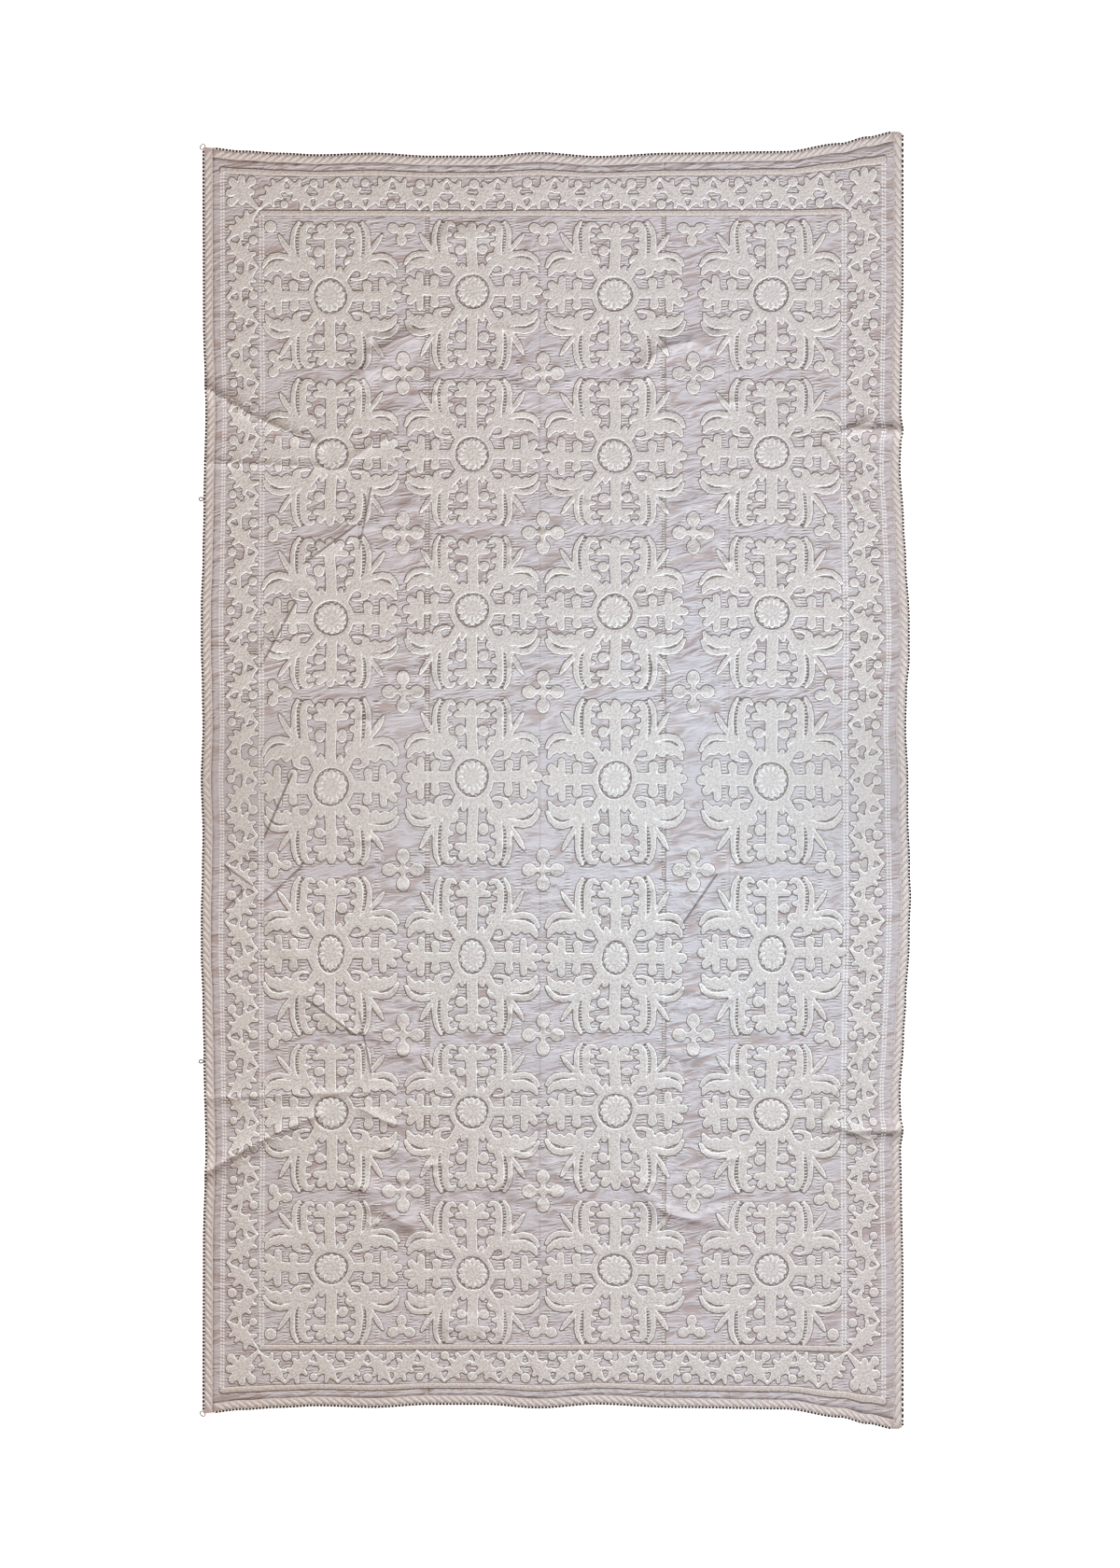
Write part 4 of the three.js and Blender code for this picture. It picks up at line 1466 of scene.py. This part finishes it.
seam_y = np.arange(-seam_end, seam_end, SEAM_PITCH)
seam_chance = np.random.default_rng(SEAM_SEED)
seams = []
for seam in (LEFT_SEAM, RIGHT_SEAM):
    seam_x = seam + seam_chance.uniform(-SEAM_SHIFT, SEAM_SHIFT, seam_y.size)
    seam_length = seam_chance.uniform(*SEAM_LENGTHS, seam_y.size)
    seam_turn = seam_chance.uniform(-SEAM_TURN, SEAM_TURN, seam_y.size)
    seam_base = CLOTH_THICKNESS + relief_rise(drawn_depth(seam_x, seam_y))
    seams.append(pads(seam_x, seam_y, seam_turn, seam_length, SEAM_WIDTH, SEAM_RISE, seam_base))
lay_piece("seam_stitches", seams, [THREAD])
print("triangles in the seams:", TRIANGLES["seam_stitches"])

# %% [markdown]
# ## The silk strips
# Each strip is a closed sheet two millimetres thick. Its face is a fine grid, and its underside, which
# lies on the floor, has cells twice as wide. The near attribute is read from the drawing.

# %% Silk strips
SILK_STEP = 6.0
NEAR_REACH = 7.0


def nearness(x, y):
    return np.exp(-np.maximum(0, -drawn_depth(x, y)) / NEAR_REACH)


def even_steps(low, high):
    return 2 * max(1, round((high - low) / SILK_STEP / 2))


def rim_of(grid):
    """The point numbers around the rim of a grid, in order."""
    return np.concatenate([grid[0, :-1], grid[:-1, -1], grid[-1, :0:-1], grid[:0:-1, 0]])


def silk_part(left, right):
    across = even_steps(left, right)
    along = even_steps(-CLOTH_END, CLOTH_END)
    x, y = np.meshgrid(np.linspace(left, right, across + 1), np.linspace(-CLOTH_END, CLOTH_END, along + 1))
    face = np.arange(x.size).reshape(x.shape)
    on_rim = np.ones(x.shape, bool)
    on_rim[1:-1, 1:-1] = False
    kept = on_rim.copy()
    kept[::2, ::2] = True
    under = np.full(x.shape, -1)
    under[kept] = x.size + np.arange(kept.sum())

    cells = [face[:-1, :-1], face[:-1, 1:], face[1:, 1:], face[1:, :-1]]
    face_rings = np.stack(cells, axis=-1).reshape(-1, 4)
    under_rings = np.stack([
        under[:-2:2, :-2:2], under[1:-1:2, :-2:2], under[2::2, :-2:2], under[2::2, 1:-1:2],
        under[2::2, 2::2], under[1:-1:2, 2::2], under[:-2:2, 2::2], under[:-2:2, 1:-1:2],
    ], axis=-1).reshape(-1, 8)
    rim_face = rim_of(face)
    rim_under = under.ravel()[rim_face]
    rim_rings = np.stack([rim_face, rim_under, np.roll(rim_under, -1), np.roll(rim_face, -1)], axis=-1)

    corners = []
    starts = []
    count = 0
    for rings in (face_rings, under_rings, rim_rings):
        new_corners, new_starts = faces_from_rings(rings)
        corners.append(new_corners)
        starts.append(new_starts + count)
        count += new_corners.size
    all_x = np.concatenate([x.ravel(), x[kept]])
    all_y = np.concatenate([y.ravel(), y[kept]])
    lift = np.concatenate([np.full(x.size, CLOTH_THICKNESS), np.zeros(kept.sum())])
    near = nearness(all_x, all_y)
    return Part(all_x, all_y, lift, np.concatenate(corners), np.concatenate(starts), 0, near)


STRIPS = [
    ("silk_left", "panel_left", CLOTH_LEFT, LEFT_SEAM - PIECE_GAP / 2),
    ("silk_middle", "panel_middle", LEFT_SEAM + PIECE_GAP / 2, RIGHT_SEAM - PIECE_GAP / 2),
    ("silk_right", "panel_right", RIGHT_SEAM + PIECE_GAP / 2, CLOTH_RIGHT),
]
for name, node, left, right in STRIPS:
    strip = lay_piece(name, [silk_part(left, right)], [SILK])
    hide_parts(node)
    print(name, "triangles:", TRIANGLES[name])

# %% [markdown]
# ## The edging braid
# The cloth is bound with a woven braid about 17 mm wide. Slanting strands make it look like rope, a
# fine cord runs along its inner side, and its outer lip is a row of picot loops in cream and dark
# brown. A shallow strip carries all of these, and each length of braid is one joined piece.

# %% Braid carrier
BRAID_PROFILE = [(0.0, 1.8), (9.35, 3.0), (17.0, 2.2)]
BRAID_STEPS_INWARDS = (0.0, 3.0, 6.0, 9.35, 13.0, 17.0)
BRAID_STEP = 7.0
CORNER_RADIUS = {"left": 3.0, "right": 10.0}


def braid_thickness(inwards):
    places, thicknesses = zip(*BRAID_PROFILE)
    return np.interp(inwards, places, thicknesses)


def braid_strip(side, along_stops, radius):
    """A closed strip along one side, as a grid of places along it and steps inwards."""
    along, inner = np.meshgrid(along_stops, BRAID_STEPS_INWARDS, indexing="ij")
    if radius:
        past = np.maximum(0, np.abs(along) - (HALF_LENGTH - radius))
        rounded = radius - np.sqrt(np.maximum(0, radius**2 - past**2))
        shown = BRAID_WIDTH - (BRAID_WIDTH - inner) * (1 - rounded / BRAID_WIDTH)
    else:
        shown = inner
    x, y = side.place(along, shown)
    x = np.broadcast_to(x, along.shape)
    y = np.broadcast_to(y, along.shape)
    face = np.arange(along.size).reshape(along.shape)
    rim = rim_of(face)
    after = np.roll(rim, -1)
    cells = [face[:-1, :-1], face[1:, :-1], face[1:, 1:], face[:-1, 1:]]
    face_rings = np.stack(cells, axis=-1).reshape(-1, 4)
    under_rings = face_rings[:, ::-1] + along.size
    rim_rings = np.stack([after, after + along.size, rim + along.size, rim], axis=-1)
    rings = np.concatenate([face_rings, under_rings, rim_rings])
    if side.name in ("right", "top"):
        rings = rings[:, ::-1]
    corners, starts = faces_from_rings(rings)
    lift = np.concatenate([braid_thickness(inner).ravel(), np.zeros(along.size)])
    both_x = np.tile(x.ravel(), 2)
    both_y = np.tile(y.ravel(), 2)
    return Part(both_x, both_y, lift, corners, starts, 0, np.ones(2 * along.size))


print("braid profile:", BRAID_PROFILE)

# %% Braid strands and picots
Trim = namedtuple("Trim", "inwards length width rise base shape finish")
STRANDS = Trim(9.4, 20.0, 6.4, 1.2, 3.2, PAD_ROUND, 1)
CORD = Trim(16.0, 5.6, 2.4, 0.9, 2.3, PAD_SHORT, 1)
DARK_PICOTS = Trim(1.0, 4.6, 5.4, 1.3, 1.9, PAD_ROUND, 2)
CREAM_PICOTS = Trim(1.0, 2.6, 5.0, 1.3, 1.9, PAD_ROUND, 3)
STRAND_PITCH = 14.0
STRAND_END = 5
CORD_PITCH = 5.0
CORD_END = 1
PICOT_PITCH = 6.3
SIDE_SLANT = math.radians(58)
END_SLANT = math.radians(31)
TRIM_END = 2
CORNER_STOPS = 6


def trim_pads(side, along, angle, trim):
    x, y = np.broadcast_arrays(*side.place(along, trim.inwards))
    return pads(x, y, angle, trim.length, trim.width, trim.rise, trim.base, trim.shape, trim.finish)


def braid_trim(side, low, high):
    is_upright = side.name in ("left", "right")
    run_angle = math.pi / 2 if is_upright else 0.0
    inward_sign = 1 if side.name in ("left", "bottom") else -1
    strands = even_places(low + STRAND_END, high - STRAND_END, STRAND_PITCH)
    if is_upright:
        slant = np.where(strands >= 0, 1, -1) * inward_sign * SIDE_SLANT
    else:
        slant = -inward_sign * END_SLANT
    cord = even_places(low + CORD_END, high - CORD_END, CORD_PITCH)
    picots = even_places(low, high, PICOT_PITCH)
    between = picots[:-1] + 0.5 * (picots[1] - picots[0])
    return [
        trim_pads(side, strands, slant, STRANDS),
        trim_pads(side, cord, run_angle, CORD),
        trim_pads(side, picots, run_angle, CREAM_PICOTS),
        trim_pads(side, between, run_angle, DARK_PICOTS),
    ]


def corner_stops(radius):
    turns = np.linspace(0, math.pi / 2, CORNER_STOPS)
    return HALF_LENGTH - radius + radius * np.sin(turns)


for side in SIDES:
    if side.name in CORNER_RADIUS:
        radius = CORNER_RADIUS[side.name]
        upper = corner_stops(radius)
        body = np.linspace(-upper[0], upper[0], round(2 * upper[0] / BRAID_STEP))
        stops = np.concatenate([-upper[:0:-1], body, upper[1:]])
    else:
        radius = 0.0
        stops = np.linspace(CLOTH_LEFT, CLOTH_RIGHT, round((CLOTH_RIGHT - CLOTH_LEFT) / BRAID_STEP))
    parts = [braid_strip(side, stops, radius)]
    parts += braid_trim(side, stops[0] + TRIM_END, stops[-1] - TRIM_END)
    name = f"edging_{side.name}"
    braid = lay_piece(name, parts, [BRAID_GROUND, BRAID_ROPE, PICOT, PICOT_CREAM])
    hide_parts(f"braid_{side.name}")
    print(name, "triangles:", TRIANGLES[name])

# %% [markdown]
# ## Thread loops
# Two small loops of thread stick out of the left edge and two sit on its corners. Each is a short cord,
# so a curve with a round bevel follows its path and is then made a mesh.

# %% Loops of thread
LOOP_PATH = [(0, 1.7), (2, 1.8), (4.6, 3), (7.4, 2.7), (9.2, 0), (7.4, -2.7), (4.6, -3), (2, -1.8),
             (0, -1.7)]
LOOP_AT = 520.0
LOOP_RADIUS = 1.2
CORNER_CORD_RADIUS = 1.0
CORNER_FOOT = 4.0
CORNER_PULL = 14.0
CORNER_POINTS = 13
CORD_LIFT = 0.1
CORD_SIDES = 4


def corner_path(sign):
    feet_x, feet_y = lie(
        np.array([LEFT_SIDE, LEFT_SIDE + CORNER_FOOT]),
        np.array([sign * (HALF_LENGTH - CORNER_FOOT), sign * HALF_LENGTH]),
    )
    start = np.array([feet_x[0] - PIECE_GAP, feet_y[0]])
    finish = np.array([feet_x[1], feet_y[1] + sign * PIECE_GAP])
    leave = start + (-CORNER_PULL, 0)
    arrive = finish + (0, sign * CORNER_PULL)
    t = np.linspace(0, 1, CORNER_POINTS)[:, None]
    return (1 - t)**3 * start + 3 * (1 - t)**2 * t * leave + 3 * (1 - t) * t**2 * arrive + t**3 * finish


def add_loop(name, node, path, radius):
    curve = bpy.data.curves.new(name, "CURVE")
    curve.dimensions = "3D"
    curve.bevel_depth = radius * MM
    curve.bevel_resolution = CORD_SIDES
    curve.use_fill_caps = True
    spline = curve.splines.new("BEZIER")
    spline.bezier_points.add(len(path) - 1)
    for point, (x, y) in zip(spline.bezier_points, path):
        point.co = (x * MM, y * MM, (radius + CORD_LIFT) * MM)
        point.handle_left_type = "AUTO"
        point.handle_right_type = "AUTO"
    loop = bpy.data.objects.new(name, curve)
    bpy.context.collection.objects.link(loop)
    bpy.ops.object.select_all(action="DESELECT")
    loop.select_set(True)
    bpy.context.view_layer.objects.active = loop
    bpy.ops.object.convert(target="MESH")
    loop = bpy.context.object
    loop.data.materials.clear()
    loop.data.materials.append(LOOP)
    loop.data.shade_smooth()
    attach(loop, "root")
    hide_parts(node)


edge_x, edge_y = lie(np.array([LEFT_SIDE, LEFT_SIDE]), np.array([LOOP_AT, -LOOP_AT]))
for word, x, y in zip(("upper", "lower"), edge_x, edge_y):
    path = [(x - PIECE_GAP - out, y + along) for out, along in LOOP_PATH]
    add_loop(f"thread_loop_{word}", f"edge_loop_{word}", path, LOOP_RADIUS)
for word, sign in (("top", 1), ("bottom", -1)):
    add_loop(f"thread_corner_{word}", f"corner_loop_{word}", corner_path(sign), CORNER_CORD_RADIUS)
print("triangles without the loops:", sum(TRIANGLES.values()))
